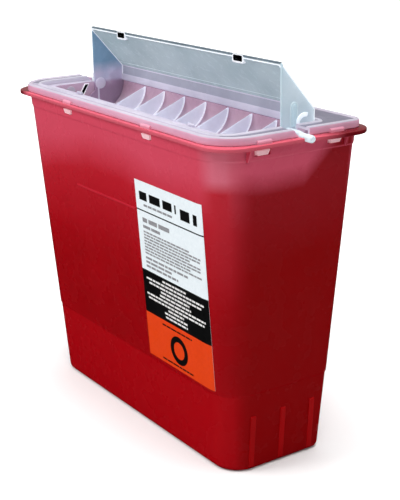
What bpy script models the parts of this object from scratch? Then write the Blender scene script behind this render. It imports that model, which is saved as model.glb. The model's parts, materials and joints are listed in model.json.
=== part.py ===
"""Wall and counter sharps container: tapered tub, clip-fit lid, and a hinged hood with a drop tray.

Metres, +Z up. X runs along the width, the front (label side) faces -Y, and the origin is at the
middle of the base. Lengths are written in millimetres times MM. The hood is modelled open.
"""

from math import cos, pi, radians, sin, sqrt

import bmesh
import bpy
from mathutils import Vector

MM = 0.001
GAP = 0.3 * MM  # clearance between pieces that touch on the real object

# Tub
TUB_RIM_Z = 227.5 * MM  # underside of the flange
FLANGE_TOP_Z = 230.0 * MM
BASE_HALF_WIDTH, BASE_FRONT, BASE_BACK = 120.0 * MM, -39.5 * MM, 39.8 * MM
RIM_HALF_WIDTH, RIM_FRONT, RIM_BACK = 134.9 * MM, -57.0 * MM, 53.2 * MM
BASE_FRONT_RADIUS, RIM_FRONT_RADIUS, BACK_RADIUS = 19.3 * MM, 30.0 * MM, 8.0 * MM
TUB_WALL = 1.8 * MM
STEP_Z, BAND_Z, STEP_DEPTH = 58.0 * MM, 219.5 * MM, 0.6 * MM
BASE_FILLET = 3.0 * MM
FLANGE_HALF_WIDTH, FLANGE_HALF_DEPTH = 141.0 * MM, 60.0 * MM
FLANGE_FRONT_RADIUS, FLANGE_BACK_RADIUS, FLANGE_EAR = 21.0 * MM, 17.0 * MM, 4.0 * MM
RIB_Y, RIB_Z, RIB_WIDTH = (-22.0 * MM, 3.0 * MM, 28.0 * MM), 42.0 * MM, 4.5 * MM
RIB_PROUD, SUNK = 0.7 * MM, TUB_WALL / 2  # how far ribs stand out of a wall, and reach into it
GUSSET_Y, GUSSET_WIDTH = (-36.0 * MM, 41.2 * MM), 1.6 * MM
GUSSET_LOW, GUSSET_HIGH = 1.2 * MM, 4.6 * MM  # reach beyond the rim line at its foot and at the flange

# Lid
LID_HALF_WIDTH, LID_FRONT, LID_BACK = 136.5 * MM, -57.0 * MM, 56.5 * MM
LID_TOP_Z, LID_PLATE, SKIRT_WALL = 235.6 * MM, 2.0 * MM, 1.8 * MM
LID_FRONT_RADIUS, LID_BACK_RADIUS, LID_EDGE = 25.0 * MM, 9.0 * MM, 1.0 * MM
OPENING_HALF_WIDTH, OPENING_FRONT, OPENING_BACK = 123.0 * MM, -47.5 * MM, 30.0 * MM
LEDGE_Z, LEDGE_HALF_WIDTH, LEDGE_FRONT, LEDGE_BACK = 231.5 * MM, 120.2 * MM, -34.0 * MM, 29.4 * MM
OPENING_FRONT_RADIUS, LEDGE_FRONT_RADIUS, OPENING_BACK_RADIUS = 14.0 * MM, 6.0 * MM, 3.0 * MM
LIP_Z, CHUTE_Z, CHUTE_WALL = 226.0 * MM, 207.0 * MM, 1.5 * MM
CHUTE_FRONT, CHUTE_BACK = -29.0 * MM, 27.0 * MM
BOSS_CENTRE, BOSS_RADIUS = (-18.9 * MM, 225.2 * MM), 4.0 * MM
SLOT_TOP, SLOT_FOOT, SLOT_GAP = (-4.6 * MM, 229.2 * MM), (-10.0 * MM, 221.6 * MM), 2.4 * MM

# Snap tabs that lock the lid to the tub
TAB_WIDTH, WINDOW_CLEARANCE, STEM_GAP = 11.0 * MM, 0.5 * MM, 0.7 * MM
STEM_WALL, STEM_FOOT_Z = 1.4 * MM, 221.6 * MM
HOOK_LOW_Z, HOOK_FACE_Z, HOOK_TOP_Z, HOOK_REACH = 222.6 * MM, 224.4 * MM, 225.8 * MM, 1.0 * MM
BUMP_LOW_Z, BUMP_TOP_Z, BUMP_REACH = 229.1 * MM, 232.2 * MM, 1.6 * MM
WINDOW_LOW_Z, WINDOW_HIGH_Z, NOTCH_Z = 222.2 * MM, 226.2 * MM, 228.8 * MM
FRONT_TAB_X = 53.5 * MM
SIDE_TAB_Y = (-25.0 * MM, 32.4 * MM)

# Hinge
PIVOT_Y, PIVOT_Z = 6.8 * MM, 229.5 * MM
PIN_RADIUS, PIN_ROOT_RADIUS, PIN_ROOT_X, PIN_END_X = 2.5 * MM, 3.4 * MM, 131.0 * MM, 144.7 * MM
CHANNEL_RADIUS, CHANNEL_FLARE, CRADLE_RADIUS = 3.8 * MM, 6.0 * MM, 3.7 * MM
CRADLE_END_X, CRADLE_FOOT_Z, CRADLE_HALF_TOP, CRADLE_HALF_FOOT = 131.8 * MM, 221.0 * MM, 7.0 * MM, 5.0 * MM
COLUMN_Y, COLUMN_HALF_WIDTH, COLUMN_PROUD, COLUMN_TOP_Z = 11.6 * MM, 2.0 * MM, 1.0 * MM, 247.5 * MM
RIB_CENTRE, RIB_INNER, RIB_OUTER = (21.0 * MM, 234.3 * MM), 4.9 * MM, 7.0 * MM

# Hood and drop tray
HOOD_HALF_WIDTH, PLATE_THICKNESS, HOOD_WALL = 118.6 * MM, 1.5 * MM, 1.6 * MM
HOOD_TOP_Z, HOOD_LIP_Z, HOOD_FRONT_Y = 274.3 * MM, 271.8 * MM, 1.3 * MM
BEND_Y, BEND_Z, HOOD_FOOT_Z = 29.0 * MM, 242.0 * MM, 230.1 * MM
DRUM_RADIUS, TRAY_WALL = 21.9 * MM, 1.5 * MM
TRAY_FRONT_Y, TRAY_LIP_Z = -27.0 * MM, 214.0 * MM
FIN_COUNT, FIN_PITCH, FIN_THICKNESS = 7, 27.6 * MM, 1.6 * MM
FIN_SLOPE = 0.4
LATCH_X, SLOT_WIDTH, SLOT_LOW_Z, SLOT_HIGH_Z = 74.0 * MM, 9.0 * MM, 270.3 * MM, 273.3 * MM
LATCH_WIDTH, LATCH_FRONT, LATCH_BACK, LATCH_TOP_Z = 7.0 * MM, -36.6 * MM, -34.9 * MM, 233.6 * MM

# Label
LABEL_LEFT, LABEL_RIGHT = 30.0 * MM, 112.0 * MM
LABEL_LOW_Z, LABEL_HIGH_Z, LABEL_THICKNESS = 61.0 * MM, 191.5 * MM, 0.5 * MM

CORNER_STEPS = 6
ARC_STEPS = 12
PIN_SIDES = 20
SIDE_STATIONS = (0.55, 0.66, 0.77)  # points along each end wall, as shares of its straight run
EAR_WEIGHTS = (0.0, 0.5, 1.0)

RED = (0.62, 0.02, 0.06)
NATURAL = (0.82, 0.80, 0.86)
CLEAR = (0.66, 0.74, 0.80)
PAPER = (0.92, 0.92, 0.90)


# ---------------------------------------------------------------- scene and material helpers


def clear_scene():
    for old in list(bpy.data.objects):
        bpy.data.objects.remove(old)


def make_material(name, color, roughness):
    material = bpy.data.materials.new(name)
    material.use_nodes = True
    shader = material.node_tree.nodes["Principled BSDF"]
    shader.inputs["Base Color"].default_value = (*color, 1.0)
    shader.inputs["Roughness"].default_value = roughness
    shader.inputs["Metallic"].default_value = 0.0
    material.diffuse_color = (*color, 1.0)
    return material


def add_object(name, mesh, material=None):
    node = bpy.data.objects.new(name, mesh)
    bpy.context.scene.collection.objects.link(node)
    if material:
        mesh.materials.append(material)
        mesh.shade_smooth()
        mesh.set_sharp_from_angle(angle=radians(30))
    return node


def finish_mesh(name, shape):
    bmesh.ops.recalc_face_normals(shape, faces=shape.faces)
    mesh = bpy.data.meshes.new(name)
    shape.to_mesh(mesh)
    shape.free()
    return mesh


def boolean(node, other, operation):
    """Unions or subtracts a hidden helper object."""
    other.hide_render = True
    other.display_type = "WIRE"
    modifier = node.modifiers.new(operation.title(), "BOOLEAN")
    modifier.operation = operation
    modifier.solver = "EXACT"
    modifier.object = other


# ---------------------------------------------------------------- shape helpers


def outline(half_width, front, back, front_radius, back_radius, z, ear=0.0):
    """A rounded rectangle seen from above, anticlockwise from the right end wall's front corner.

    The end walls carry extra points, so that `ear` can widen them towards the back.
    """
    corners = (
        (1, front + front_radius, front_radius, -90, 0),
        (1, back - back_radius, back_radius, 0, 90),
        (-1, back - back_radius, back_radius, 90, 180),
        (-1, front + front_radius, front_radius, 180, 270),
    )
    span = (back - back_radius) - (front + front_radius)
    points = []
    for index, (side, centre_y, radius, start, stop) in enumerate(corners):
        centre_x = side * (half_width - radius)
        widen = side * ear if index in (1, 2) else 0.0
        arc = [
            Vector((
                centre_x + widen + radius * cos(radians(start + (stop - start) * k / CORNER_STEPS)),
                centre_y + radius * sin(radians(start + (stop - start) * k / CORNER_STEPS)),
                z,
            ))
            for k in range(CORNER_STEPS + 1)
        ]
        side_points = [
            Vector((
                side * (half_width + ear * weight),
                front + front_radius + span * share,
                z,
            ))
            for share, weight in zip(SIDE_STATIONS, EAR_WEIGHTS)
        ]
        points += arc
        if index == 0:
            points += side_points
        if index == 2:
            points += side_points[::-1]
    return points


def loft(name, rings, closed_loop=False):
    """Skins a stack of outlines with equal point counts; the ends are capped, or joined to each other."""
    shape = bmesh.new()
    rows = [[shape.verts.new(point) for point in ring] for ring in rings]
    pairs = list(zip(rows, rows[1:]))
    if closed_loop:
        pairs.append((rows[-1], rows[0]))
    else:
        shape.faces.new(rows[0])
        shape.faces.new(rows[-1])
    count = len(rows[0])
    for low, high in pairs:
        for i in range(count):
            j = (i + 1) % count
            shape.faces.new((low[i], low[j], high[j], high[i]))
    return finish_mesh(name, shape)


def prism(name, profile, start, stop, axis="X"):
    """Extrudes a closed profile: (y, z) points along X, (x, z) points along Y, (x, y) points along Z."""
    place = {
        "X": lambda a, b, t: Vector((t, a, b)),
        "Y": lambda a, b, t: Vector((a, t, b)),
        "Z": lambda a, b, t: Vector((a, b, t)),
    }[axis]
    shape = bmesh.new()
    near = [shape.verts.new(place(a, b, start)) for a, b in profile]
    far = [shape.verts.new(place(a, b, stop)) for a, b in profile]
    shape.faces.new(near)
    shape.faces.new(far)
    for i in range(len(profile)):
        j = (i + 1) % len(profile)
        shape.faces.new((near[i], near[j], far[j], far[i]))
    return finish_mesh(name, shape)


def block(name, low, high):
    return prism(name, [(low[0], low[1]), (high[0], low[1]), (high[0], high[1]), (low[0], high[1])],
                 low[2], high[2], axis="Z")


def arc_points(centre, radius, start, stop, steps):
    return [
        (centre[0] + radius * cos(radians(start + (stop - start) * k / steps)),
         centre[1] + radius * sin(radians(start + (stop - start) * k / steps)))
        for k in range(steps + 1)
    ]


def channel_profile(radius, top, flare=0.0):
    """A U-shaped groove around the pivot, open at the top, and `flare` wider there towards the front."""
    bottom = arc_points((PIVOT_Y, PIVOT_Z), radius, 180, 360, ARC_STEPS)
    return [(PIVOT_Y - radius - flare, top)] + bottom + [(PIVOT_Y + radius, top)]


def at_height(z, base, rim):
    """A tub dimension at height z, tapering evenly from the base to the rim."""
    return base + (rim - base) * z / TUB_RIM_Z


# ---------------------------------------------------------------- tub


def tub_outline(z, inset=0.0):
    return outline(
        at_height(z, BASE_HALF_WIDTH, RIM_HALF_WIDTH) - inset,
        at_height(z, BASE_FRONT, RIM_FRONT) + inset,
        at_height(z, BASE_BACK, RIM_BACK) - inset,
        at_height(z, BASE_FRONT_RADIUS, RIM_FRONT_RADIUS) - inset,
        BACK_RADIUS - inset,
        z,
    )


def flange_outline(z):
    return outline(FLANGE_HALF_WIDTH, -FLANGE_HALF_DEPTH, FLANGE_HALF_DEPTH,
                   FLANGE_FRONT_RADIUS, FLANGE_BACK_RADIUS, z, ear=FLANGE_EAR)


def container_body(material):
    half_fillet = BASE_FILLET * (1 - sqrt(0.5))
    lowered = [Vector((p.x, p.y, 0.0)) for p in tub_outline(half_fillet, BASE_FILLET)]
    rings = [
        lowered,
        tub_outline(half_fillet, STEP_DEPTH + half_fillet),
        tub_outline(BASE_FILLET, STEP_DEPTH),
        tub_outline(STEP_Z, STEP_DEPTH),
        tub_outline(STEP_Z + STEP_DEPTH),
        tub_outline(BAND_Z),
        tub_outline(BAND_Z + STEP_DEPTH, -STEP_DEPTH),
        tub_outline(TUB_RIM_Z, -STEP_DEPTH),
        flange_outline(TUB_RIM_Z),
        flange_outline(FLANGE_TOP_Z),
        tub_outline(FLANGE_TOP_Z, TUB_WALL),
        tub_outline(STEP_Z, TUB_WALL + STEP_DEPTH),
        tub_outline(2 * TUB_WALL, TUB_WALL + BASE_FILLET),
    ]
    body = add_object("container_body", loft("container_body", rings), material)
    for side in (-1, 1):
        add_end_ribs(body, side)
        channel = prism("pin_channel", channel_profile(CHANNEL_RADIUS, LID_TOP_Z),
                        side * (RIM_HALF_WIDTH - 2 * TUB_WALL), side * (PIN_END_X + 5 * MM))
        boolean(body, add_object("pin_channel", channel), "DIFFERENCE")
    for place in tab_places():
        add_tab_window(body, place)
    return body


def add_end_ribs(body, side):
    """Stiffening ribs low on an end wall, and gussets under the flange."""
    for y in RIB_Y:
        low_x = at_height(0.0, BASE_HALF_WIDTH, RIM_HALF_WIDTH) - STEP_DEPTH
        high_x = at_height(RIB_Z, BASE_HALF_WIDTH, RIM_HALF_WIDTH) - STEP_DEPTH
        profile = [
            (side * (low_x - SUNK), BASE_FILLET),
            (side * (low_x + RIB_PROUD), BASE_FILLET),
            (side * (high_x + RIB_PROUD), RIB_Z),
            (side * (high_x - SUNK), RIB_Z),
        ]
        rib = prism("end_rib", profile, y - RIB_WIDTH / 2, y + RIB_WIDTH / 2, axis="Y")
        boolean(body, add_object("end_rib", rib), "UNION")
    for y in GUSSET_Y:
        inside_x, top_z = RIM_HALF_WIDTH - SUNK, (TUB_RIM_Z + FLANGE_TOP_Z) / 2
        profile = [
            (side * inside_x, BAND_Z - STEP_DEPTH),
            (side * (RIM_HALF_WIDTH + GUSSET_LOW), BAND_Z),
            (side * (RIM_HALF_WIDTH + GUSSET_HIGH), top_z),
            (side * inside_x, top_z),
        ]
        gusset = prism("gusset", profile, y - GUSSET_WIDTH / 2, y + GUSSET_WIDTH / 2, axis="Y")
        boolean(body, add_object("gusset", gusset), "UNION")


# ---------------------------------------------------------------- snap tabs


def tab_places():
    """(name, outward direction, position along the wall, lid face, tub wall face) of each snap tab."""
    middle_z = (WINDOW_LOW_Z + WINDOW_HIGH_Z) / 2
    wall_x = at_height(middle_z, BASE_HALF_WIDTH, RIM_HALF_WIDTH) + STEP_DEPTH
    wall_front = -at_height(middle_z, BASE_FRONT, RIM_FRONT) + STEP_DEPTH
    wall_back = at_height(middle_z, BASE_BACK, RIM_BACK) + STEP_DEPTH
    places = []
    for label, x in (("left", -FRONT_TAB_X), ("right", FRONT_TAB_X)):
        places.append((f"snap_tab_front_{label}", "-Y", x, -LID_FRONT, wall_front))
        places.append((f"snap_tab_back_{label}", "+Y", x, LID_BACK, wall_back))
    for label, direction in (("left", "-X"), ("right", "+X")):
        for end, y in zip(("front", "back"), SIDE_TAB_Y):
            places.append((f"snap_tab_{label}_{end}", direction, y, LID_HALF_WIDTH, wall_x))
    return places


def wall_prism(name, profile, direction, along, width):
    """Extrudes an (outward, z) profile across a wall that faces `direction`."""
    sign = -1 if direction[0] == "-" else 1
    turned = [(sign * outward, z) for outward, z in profile]
    axis = "X" if direction[1] == "Y" else "Y"
    return prism(name, turned, along - width / 2, along + width / 2, axis=axis)


def snap_tab(place, material):
    """A C-shaped clip: it laps over the flange, passes down inside the wall and hooks out of a window."""
    name, direction, along, lid_face, wall_face = place
    stem_out = wall_face - STEP_DEPTH - TUB_WALL - STEM_GAP
    stem_in = stem_out - STEM_WALL
    profile = [
        (stem_in, STEM_FOOT_Z),
        (stem_in, FLANGE_TOP_Z),
        (lid_face + GAP, FLANGE_TOP_Z),
        (lid_face + GAP, BUMP_TOP_Z),
        (lid_face + BUMP_REACH, BUMP_TOP_Z - STEP_DEPTH),
        (lid_face + BUMP_REACH, BUMP_LOW_Z),
        (stem_out, BUMP_LOW_Z),
        (stem_out, HOOK_TOP_Z),
        (wall_face + HOOK_REACH, HOOK_TOP_Z),
        (wall_face + HOOK_REACH, HOOK_FACE_Z),
        (stem_out, HOOK_LOW_Z),
        (stem_out, STEM_FOOT_Z),
    ]
    return add_object(name, wall_prism(name, profile, direction, along, TAB_WIDTH), material)


def add_tab_window(body, place):
    """The window for the hook, and the shallow notch where the clip laps over the flange."""
    _, direction, along, lid_face, wall_face = place
    width = TAB_WIDTH + 2 * WINDOW_CLEARANCE
    inner = wall_face - STEP_DEPTH - 2 * TUB_WALL
    window_face = wall_face + 2 * HOOK_REACH
    notch_face = lid_face + BUMP_REACH + WINDOW_CLEARANCE
    window = [(inner, WINDOW_LOW_Z), (window_face, WINDOW_LOW_Z),
              (window_face, WINDOW_HIGH_Z), (inner, WINDOW_HIGH_Z)]
    notch = [(inner, NOTCH_Z), (notch_face, NOTCH_Z), (notch_face, LID_TOP_Z), (inner, LID_TOP_Z)]
    for name, profile in (("tab_window", window), ("tab_notch", notch)):
        cutter = add_object(name, wall_prism(name, profile, direction, along, width))
        boolean(body, cutter, "DIFFERENCE")


# ---------------------------------------------------------------- lid


def lid_outline(z, inset=0.0):
    return outline(LID_HALF_WIDTH - inset, LID_FRONT + inset, LID_BACK - inset,
                   LID_FRONT_RADIUS - inset, LID_BACK_RADIUS - inset, z)


def opening_outline(z, grow=0.0):
    return outline(OPENING_HALF_WIDTH + grow, OPENING_FRONT - grow, OPENING_BACK + grow,
                   OPENING_FRONT_RADIUS + grow, OPENING_BACK_RADIUS + grow, z)


def ledge_outline(z, grow=0.0):
    """The inner edge of the ledge that the closed hood rests on."""
    return outline(LEDGE_HALF_WIDTH + grow, LEDGE_FRONT - grow, LEDGE_BACK + grow,
                   LEDGE_FRONT_RADIUS + grow, OPENING_BACK_RADIUS + grow, z)


def lid_cover(material):
    underside = LID_TOP_Z - LID_PLATE
    skirt_low = FLANGE_TOP_Z + GAP
    rings = [
        lid_outline(skirt_low),
        lid_outline(LID_TOP_Z - LID_EDGE),
        lid_outline(LID_TOP_Z, LID_EDGE),
        opening_outline(LID_TOP_Z),
        opening_outline(LEDGE_Z),
        ledge_outline(LEDGE_Z),
        ledge_outline(LIP_Z),
        ledge_outline(LIP_Z, CHUTE_WALL),
        ledge_outline(LEDGE_Z - LID_PLATE, CHUTE_WALL),
        opening_outline(LEDGE_Z - LID_PLATE, CHUTE_WALL),
        opening_outline(underside, CHUTE_WALL),
        lid_outline(underside, SKIRT_WALL),
        lid_outline(skirt_low, SKIRT_WALL),
    ]
    lid = add_object("lid_cover", loft("lid_cover", rings, closed_loop=True), material)
    for side in (-1, 1):
        add_end_wall(lid, side)
        channel = prism("pin_channel", channel_profile(CHANNEL_RADIUS, LID_TOP_Z + GAP, CHANNEL_FLARE),
                        side * (LEDGE_HALF_WIDTH - 1 * MM), side * (LID_HALF_WIDTH + 2 * MM))
        boolean(lid, add_object("lid_pin_channel", channel), "DIFFERENCE")
    return lid


def add_end_wall(lid, side):
    """The wall that hangs beside the drop tray, with its round boss and slanted relief slot."""
    inner = side * (LEDGE_HALF_WIDTH + 0.2 * MM)
    outer = side * (LEDGE_HALF_WIDTH + CHUTE_WALL - 0.2 * MM)
    top_z, chamfer = LIP_Z + 2 * MM, 8 * MM
    profile = [(CHUTE_FRONT, top_z), (CHUTE_FRONT, CHUTE_Z + chamfer), (CHUTE_FRONT + chamfer, CHUTE_Z),
               (CHUTE_BACK - chamfer, CHUTE_Z), (CHUTE_BACK, CHUTE_Z + chamfer), (CHUTE_BACK, top_z)]
    wall = prism("end_wall", profile, inner, outer)
    boolean(lid, add_object("end_wall", wall), "UNION")
    boss = prism("boss", arc_points(BOSS_CENTRE, BOSS_RADIUS, 0, 345, 2 * ARC_STEPS - 1),
                 side * (LEDGE_HALF_WIDTH - 0.6 * MM), side * (LEDGE_HALF_WIDTH + 1.0 * MM))
    boolean(lid, add_object("boss", boss), "UNION")
    slot = [(y + shift, z) for (y, z), shift in ((SLOT_TOP, SLOT_GAP / 2), (SLOT_TOP, -SLOT_GAP / 2),
                                                 (SLOT_FOOT, -SLOT_GAP / 2), (SLOT_FOOT, SLOT_GAP / 2))]
    cutter = prism("relief_slot", slot, side * (LEDGE_HALF_WIDTH - 2 * MM),
                   side * (LEDGE_HALF_WIDTH + 2 * MM))
    boolean(lid, add_object("relief_slot", cutter), "DIFFERENCE")


def pivot_bearing(side, material):
    """The cradle under a pivot pin: a U-shaped saddle that the pin drops into."""
    name = "pivot_bearing_right" if side > 0 else "pivot_bearing_left"
    top = LID_TOP_Z - LID_PLATE - GAP
    groove = arc_points((PIVOT_Y, PIVOT_Z), CRADLE_RADIUS, 180, 360, ARC_STEPS)
    profile = ([(PIVOT_Y - CRADLE_RADIUS, top)] + groove[1:-1] + [(PIVOT_Y + CRADLE_RADIUS, top)]
               + [(PIVOT_Y + CRADLE_HALF_TOP, top), (PIVOT_Y + CRADLE_HALF_FOOT, CRADLE_FOOT_Z),
                  (PIVOT_Y - CRADLE_HALF_FOOT, CRADLE_FOOT_Z), (PIVOT_Y - CRADLE_HALF_TOP, top)])
    start = side * (OPENING_HALF_WIDTH + CHUTE_WALL + GAP)
    return add_object(name, prism(name, profile, start, side * CRADLE_END_X), material)


def hood_latch(side, material):
    """A tapered post on the front ledge, which enters the hood's slot when the hood is shut."""
    name = "hood_latch_right" if side > 0 else "hood_latch_left"
    low, shoulder, middle = LEDGE_Z + GAP, LATCH_TOP_Z - 1 * MM, (LATCH_FRONT + LATCH_BACK) / 2
    profile = [(LATCH_FRONT, low), (LATCH_BACK, low), (LATCH_BACK - 0.2 * MM, shoulder),
               (middle + 0.4 * MM, LATCH_TOP_Z), (middle - 0.4 * MM, LATCH_TOP_Z), (LATCH_FRONT, shoulder)]
    centre = side * LATCH_X
    return add_object(name, prism(name, profile, centre - LATCH_WIDTH / 2, centre + LATCH_WIDTH / 2), material)


# ---------------------------------------------------------------- hood, tray and pins


def relative_to_pivot(node):
    """Puts the object's origin on the hinge axis without moving its shape."""
    offset = Vector((0.0, PIVOT_Y, PIVOT_Z))
    for vertex in node.data.vertices:
        vertex.co -= offset
    node.location = offset
    return node


def panel_profile():
    """The hood's back: a short upright lip, the sloping panel, and the upright foot."""
    run, rise = BEND_Y - HOOD_WALL - HOOD_FRONT_Y, BEND_Z - HOOD_LIP_Z
    slope = rise / run
    inner_bend_z = HOOD_LIP_Z + slope * run
    outer_shift = HOOD_WALL * sqrt(1 + slope * slope)
    return [
        (HOOD_FRONT_Y, HOOD_TOP_Z),
        (HOOD_FRONT_Y, HOOD_LIP_Z),
        (BEND_Y - HOOD_WALL, inner_bend_z),
        (BEND_Y - HOOD_WALL, HOOD_FOOT_Z),
        (BEND_Y, HOOD_FOOT_Z),
        (BEND_Y, inner_bend_z + outer_shift + slope * HOOD_WALL),
        (HOOD_FRONT_Y + HOOD_WALL, HOOD_LIP_Z + outer_shift + slope * HOOD_WALL),
        (HOOD_FRONT_Y + HOOD_WALL, HOOD_TOP_Z),
    ]


def plate_profile():
    """A side plate: it carries the panel above the pivot and closes the tray's end below it."""
    outer = panel_profile()
    radius = DRUM_RADIUS + 0.2 * MM
    drum = arc_points((PIVOT_Y, PIVOT_Z), radius, 0, -90, ARC_STEPS)
    floor_z = PIVOT_Z - radius
    return ([(HOOD_FRONT_Y + 0.2 * MM, HOOD_TOP_Z - 0.2 * MM), (outer[6][0], outer[6][1] - 0.2 * MM),
             (BEND_Y - 0.2 * MM, outer[5][1] - 0.2 * MM)]
            + drum
            + [(TRAY_FRONT_Y - TRAY_WALL, floor_z), (TRAY_FRONT_Y - TRAY_WALL, TRAY_LIP_Z),
               (-6.0 * MM, 218.5 * MM), (1.5 * MM, 224.0 * MM), (HOOD_FRONT_Y + 0.2 * MM, 232.0 * MM)])


def door_hood(material):
    panel = prism("door_hood", panel_profile(), -HOOD_HALF_WIDTH, HOOD_HALF_WIDTH)
    hood = add_object("door_hood", panel, material)
    for side in (-1, 1):
        outer_x = side * HOOD_HALF_WIDTH
        inner_x = side * (HOOD_HALF_WIDTH - PLATE_THICKNESS)
        plate = prism("side_plate", plate_profile(), inner_x, outer_x)
        boolean(hood, add_object("side_plate", plate), "UNION")
        rib = prism("plate_rib", c_rib_profile(), outer_x - side * 0.5 * MM, outer_x + side * COLUMN_PROUD)
        boolean(hood, add_object("plate_rib", rib), "UNION")
        slot_x = side * LATCH_X
        cutter = block("latch_slot", (slot_x - SLOT_WIDTH / 2, -3 * MM, SLOT_LOW_Z),
                       (slot_x + SLOT_WIDTH / 2, 8 * MM, SLOT_HIGH_Z))
        boolean(hood, add_object("latch_slot", cutter), "DIFFERENCE")
    return hood


def c_rib_profile():
    """The raised rib behind the pivot: a thick C, hollow towards the back."""
    return (arc_points(RIB_CENTRE, RIB_OUTER, 70, 235, ARC_STEPS)
            + arc_points(RIB_CENTRE, RIB_INNER, 235, 70, ARC_STEPS))


def hinge_column(side, material):
    """The upright, gently rounded pillar on a side plate, above the pin."""
    name = "hinge_column_right" if side > 0 else "hinge_column_left"
    base_x = HOOD_HALF_WIDTH + GAP
    profile = [(side * (base_x + COLUMN_PROUD * out), COLUMN_Y + COLUMN_HALF_WIDTH * across)
               for across, out in arc_points((0.0, 0.0), 1.0, 0, 180, ARC_STEPS)]
    mesh = prism(name, profile, PIVOT_Z + PIN_ROOT_RADIUS + GAP, COLUMN_TOP_Z, axis="Z")
    return add_object(name, mesh, material)


def pivot_pin(side, material):
    name = "pivot_pin_right" if side > 0 else "pivot_pin_left"
    start, stop = HOOD_HALF_WIDTH + GAP, PIN_END_X
    stations = [(start, PIN_ROOT_RADIUS), (PIN_ROOT_X, PIN_ROOT_RADIUS), (PIN_ROOT_X + 3 * MM, PIN_RADIUS),
                (stop - 2 * MM, PIN_RADIUS),
                (stop - 0.8 * MM, PIN_RADIUS * 0.8), (stop, PIN_RADIUS * 0.4)]
    rings = [
        [Vector((side * x, PIVOT_Y + radius * cos(2 * pi * k / PIN_SIDES),
                 PIVOT_Z + radius * sin(2 * pi * k / PIN_SIDES)))
         for k in range(PIN_SIDES)]
        for x, radius in stations
    ]
    return add_object(name, loft(name, rings), material)


def tray_profile():
    """The drum-shaped back and flat floor of the drop tray, with a low front lip."""
    centre = (PIVOT_Y, PIVOT_Z)
    outer = arc_points(centre, DRUM_RADIUS, 0, -90, 14)
    inner = arc_points(centre, DRUM_RADIUS - TRAY_WALL, -90, 0, 14)
    floor_z = PIVOT_Z - DRUM_RADIUS
    return (outer
            + [(TRAY_FRONT_Y, floor_z), (TRAY_FRONT_Y - TRAY_WALL, floor_z + TRAY_WALL),
               (TRAY_FRONT_Y - TRAY_WALL, TRAY_LIP_Z), (TRAY_FRONT_Y, TRAY_LIP_Z),
               (TRAY_FRONT_Y, floor_z + TRAY_WALL)]
            + inner)


def drop_tray(material):
    half_width = HOOD_HALF_WIDTH - PLATE_THICKNESS - GAP
    return add_object("drop_tray", prism("drop_tray", tray_profile(), -half_width, half_width), material)


def tray_fin(index, material):
    """A fin across the tray, filling the corner under a straight sloping edge."""
    radius = DRUM_RADIUS - TRAY_WALL - GAP
    floor_z = PIVOT_Z - radius
    top_y, top_z = PIVOT_Y + radius, PIVOT_Z
    front_y = top_y - (top_z - floor_z - 1 * MM) / FIN_SLOPE
    front_y = max(front_y, TRAY_FRONT_Y + 2 * MM)
    curve = arc_points((PIVOT_Y, PIVOT_Z), radius, 0, -90, ARC_STEPS)
    profile = curve + [(front_y, floor_z), (front_y, top_z - FIN_SLOPE * (top_y - front_y))]
    centre = (index - (FIN_COUNT - 1) / 2) * FIN_PITCH
    name = f"tray_fin_{index + 1}"
    return add_object(name, prism(name, profile, centre - FIN_THICKNESS / 2, centre + FIN_THICKNESS / 2), material)


# ---------------------------------------------------------------- label


def label_path(z):
    """(x, y) stations across the front wall at height z: flat, then along the facets of the corner."""
    front = at_height(z, BASE_FRONT, RIM_FRONT)
    radius = at_height(z, BASE_FRONT_RADIUS, RIM_FRONT_RADIUS)
    corner_x = at_height(z, BASE_HALF_WIDTH, RIM_HALF_WIDTH) - radius
    step = radians(90 / CORNER_STEPS)
    corner = [(corner_x + radius * sin(k * step), front + radius * (1 - cos(k * step))) for k in range(3)]
    (x1, y1), (x2, y2) = corner[1:]
    share = (LABEL_RIGHT - x1) / (x2 - x1)
    return [(LABEL_LEFT, front)] + corner[:2] + [(LABEL_RIGHT, y1 + share * (y2 - y1))]


def front_label(material):
    """A thin sheet on the front wall, following the wall's lean and the start of its rounded corner."""
    shape = bmesh.new()
    grid = [
        [shape.verts.new(Vector((x, y - clearance, z))) for x, y in label_path(z)]
        for z in (LABEL_LOW_Z, LABEL_HIGH_Z)
        for clearance in (GAP, GAP + LABEL_THICKNESS)
    ]
    low_in, low_out, high_in, high_out = grid
    last = len(low_in) - 1
    for k in range(last):
        for first, second in ((low_in, high_in), (low_out, high_out), (low_in, low_out), (high_in, high_out)):
            shape.faces.new((first[k], first[k + 1], second[k + 1], second[k]))
    for k in (0, last):
        shape.faces.new((low_in[k], low_out[k], high_out[k], high_in[k]))
    return add_object("front_label", finish_mesh("front_label", shape), material)


# ---------------------------------------------------------------- assembly


def main():
    clear_scene()
    container_body(make_material("tub_red", RED, 0.35))
    lid_cover(make_material("lid_natural", NATURAL, 0.4))
    for place in tab_places():
        snap_tab(place, make_material(place[0], NATURAL, 0.4))
    front_label(make_material("label_paper", PAPER, 0.5))
    for side, label in ((-1, "left"), (1, "right")):
        pivot_bearing(side, make_material(f"bearing_{label}", NATURAL, 0.4))
        hood_latch(side, make_material(f"latch_{label}", NATURAL, 0.4))
        relative_to_pivot(hinge_column(side, make_material(f"column_{label}", CLEAR, 0.25)))
        relative_to_pivot(pivot_pin(side, make_material(f"pin_{label}", CLEAR, 0.25)))
    relative_to_pivot(drop_tray(make_material("tray_clear", CLEAR, 0.25)))
    for index in range(FIN_COUNT):
        relative_to_pivot(tray_fin(index, make_material(f"fin_{index + 1}", CLEAR, 0.25)))
    hood = door_hood(make_material("hood_clear", CLEAR, 0.25))
    for helper in [hood] + [m.object for m in hood.modifiers if m.type == "BOOLEAN"]:
        relative_to_pivot(helper)


main()
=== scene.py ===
"""Looks of the sharps container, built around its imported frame.

Metres, in the frame's own axes: X along the width, the labelled front faces -Y, +Z up.
Lengths that the frame doesn't give are written in millimetres times MM.
"""

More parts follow.
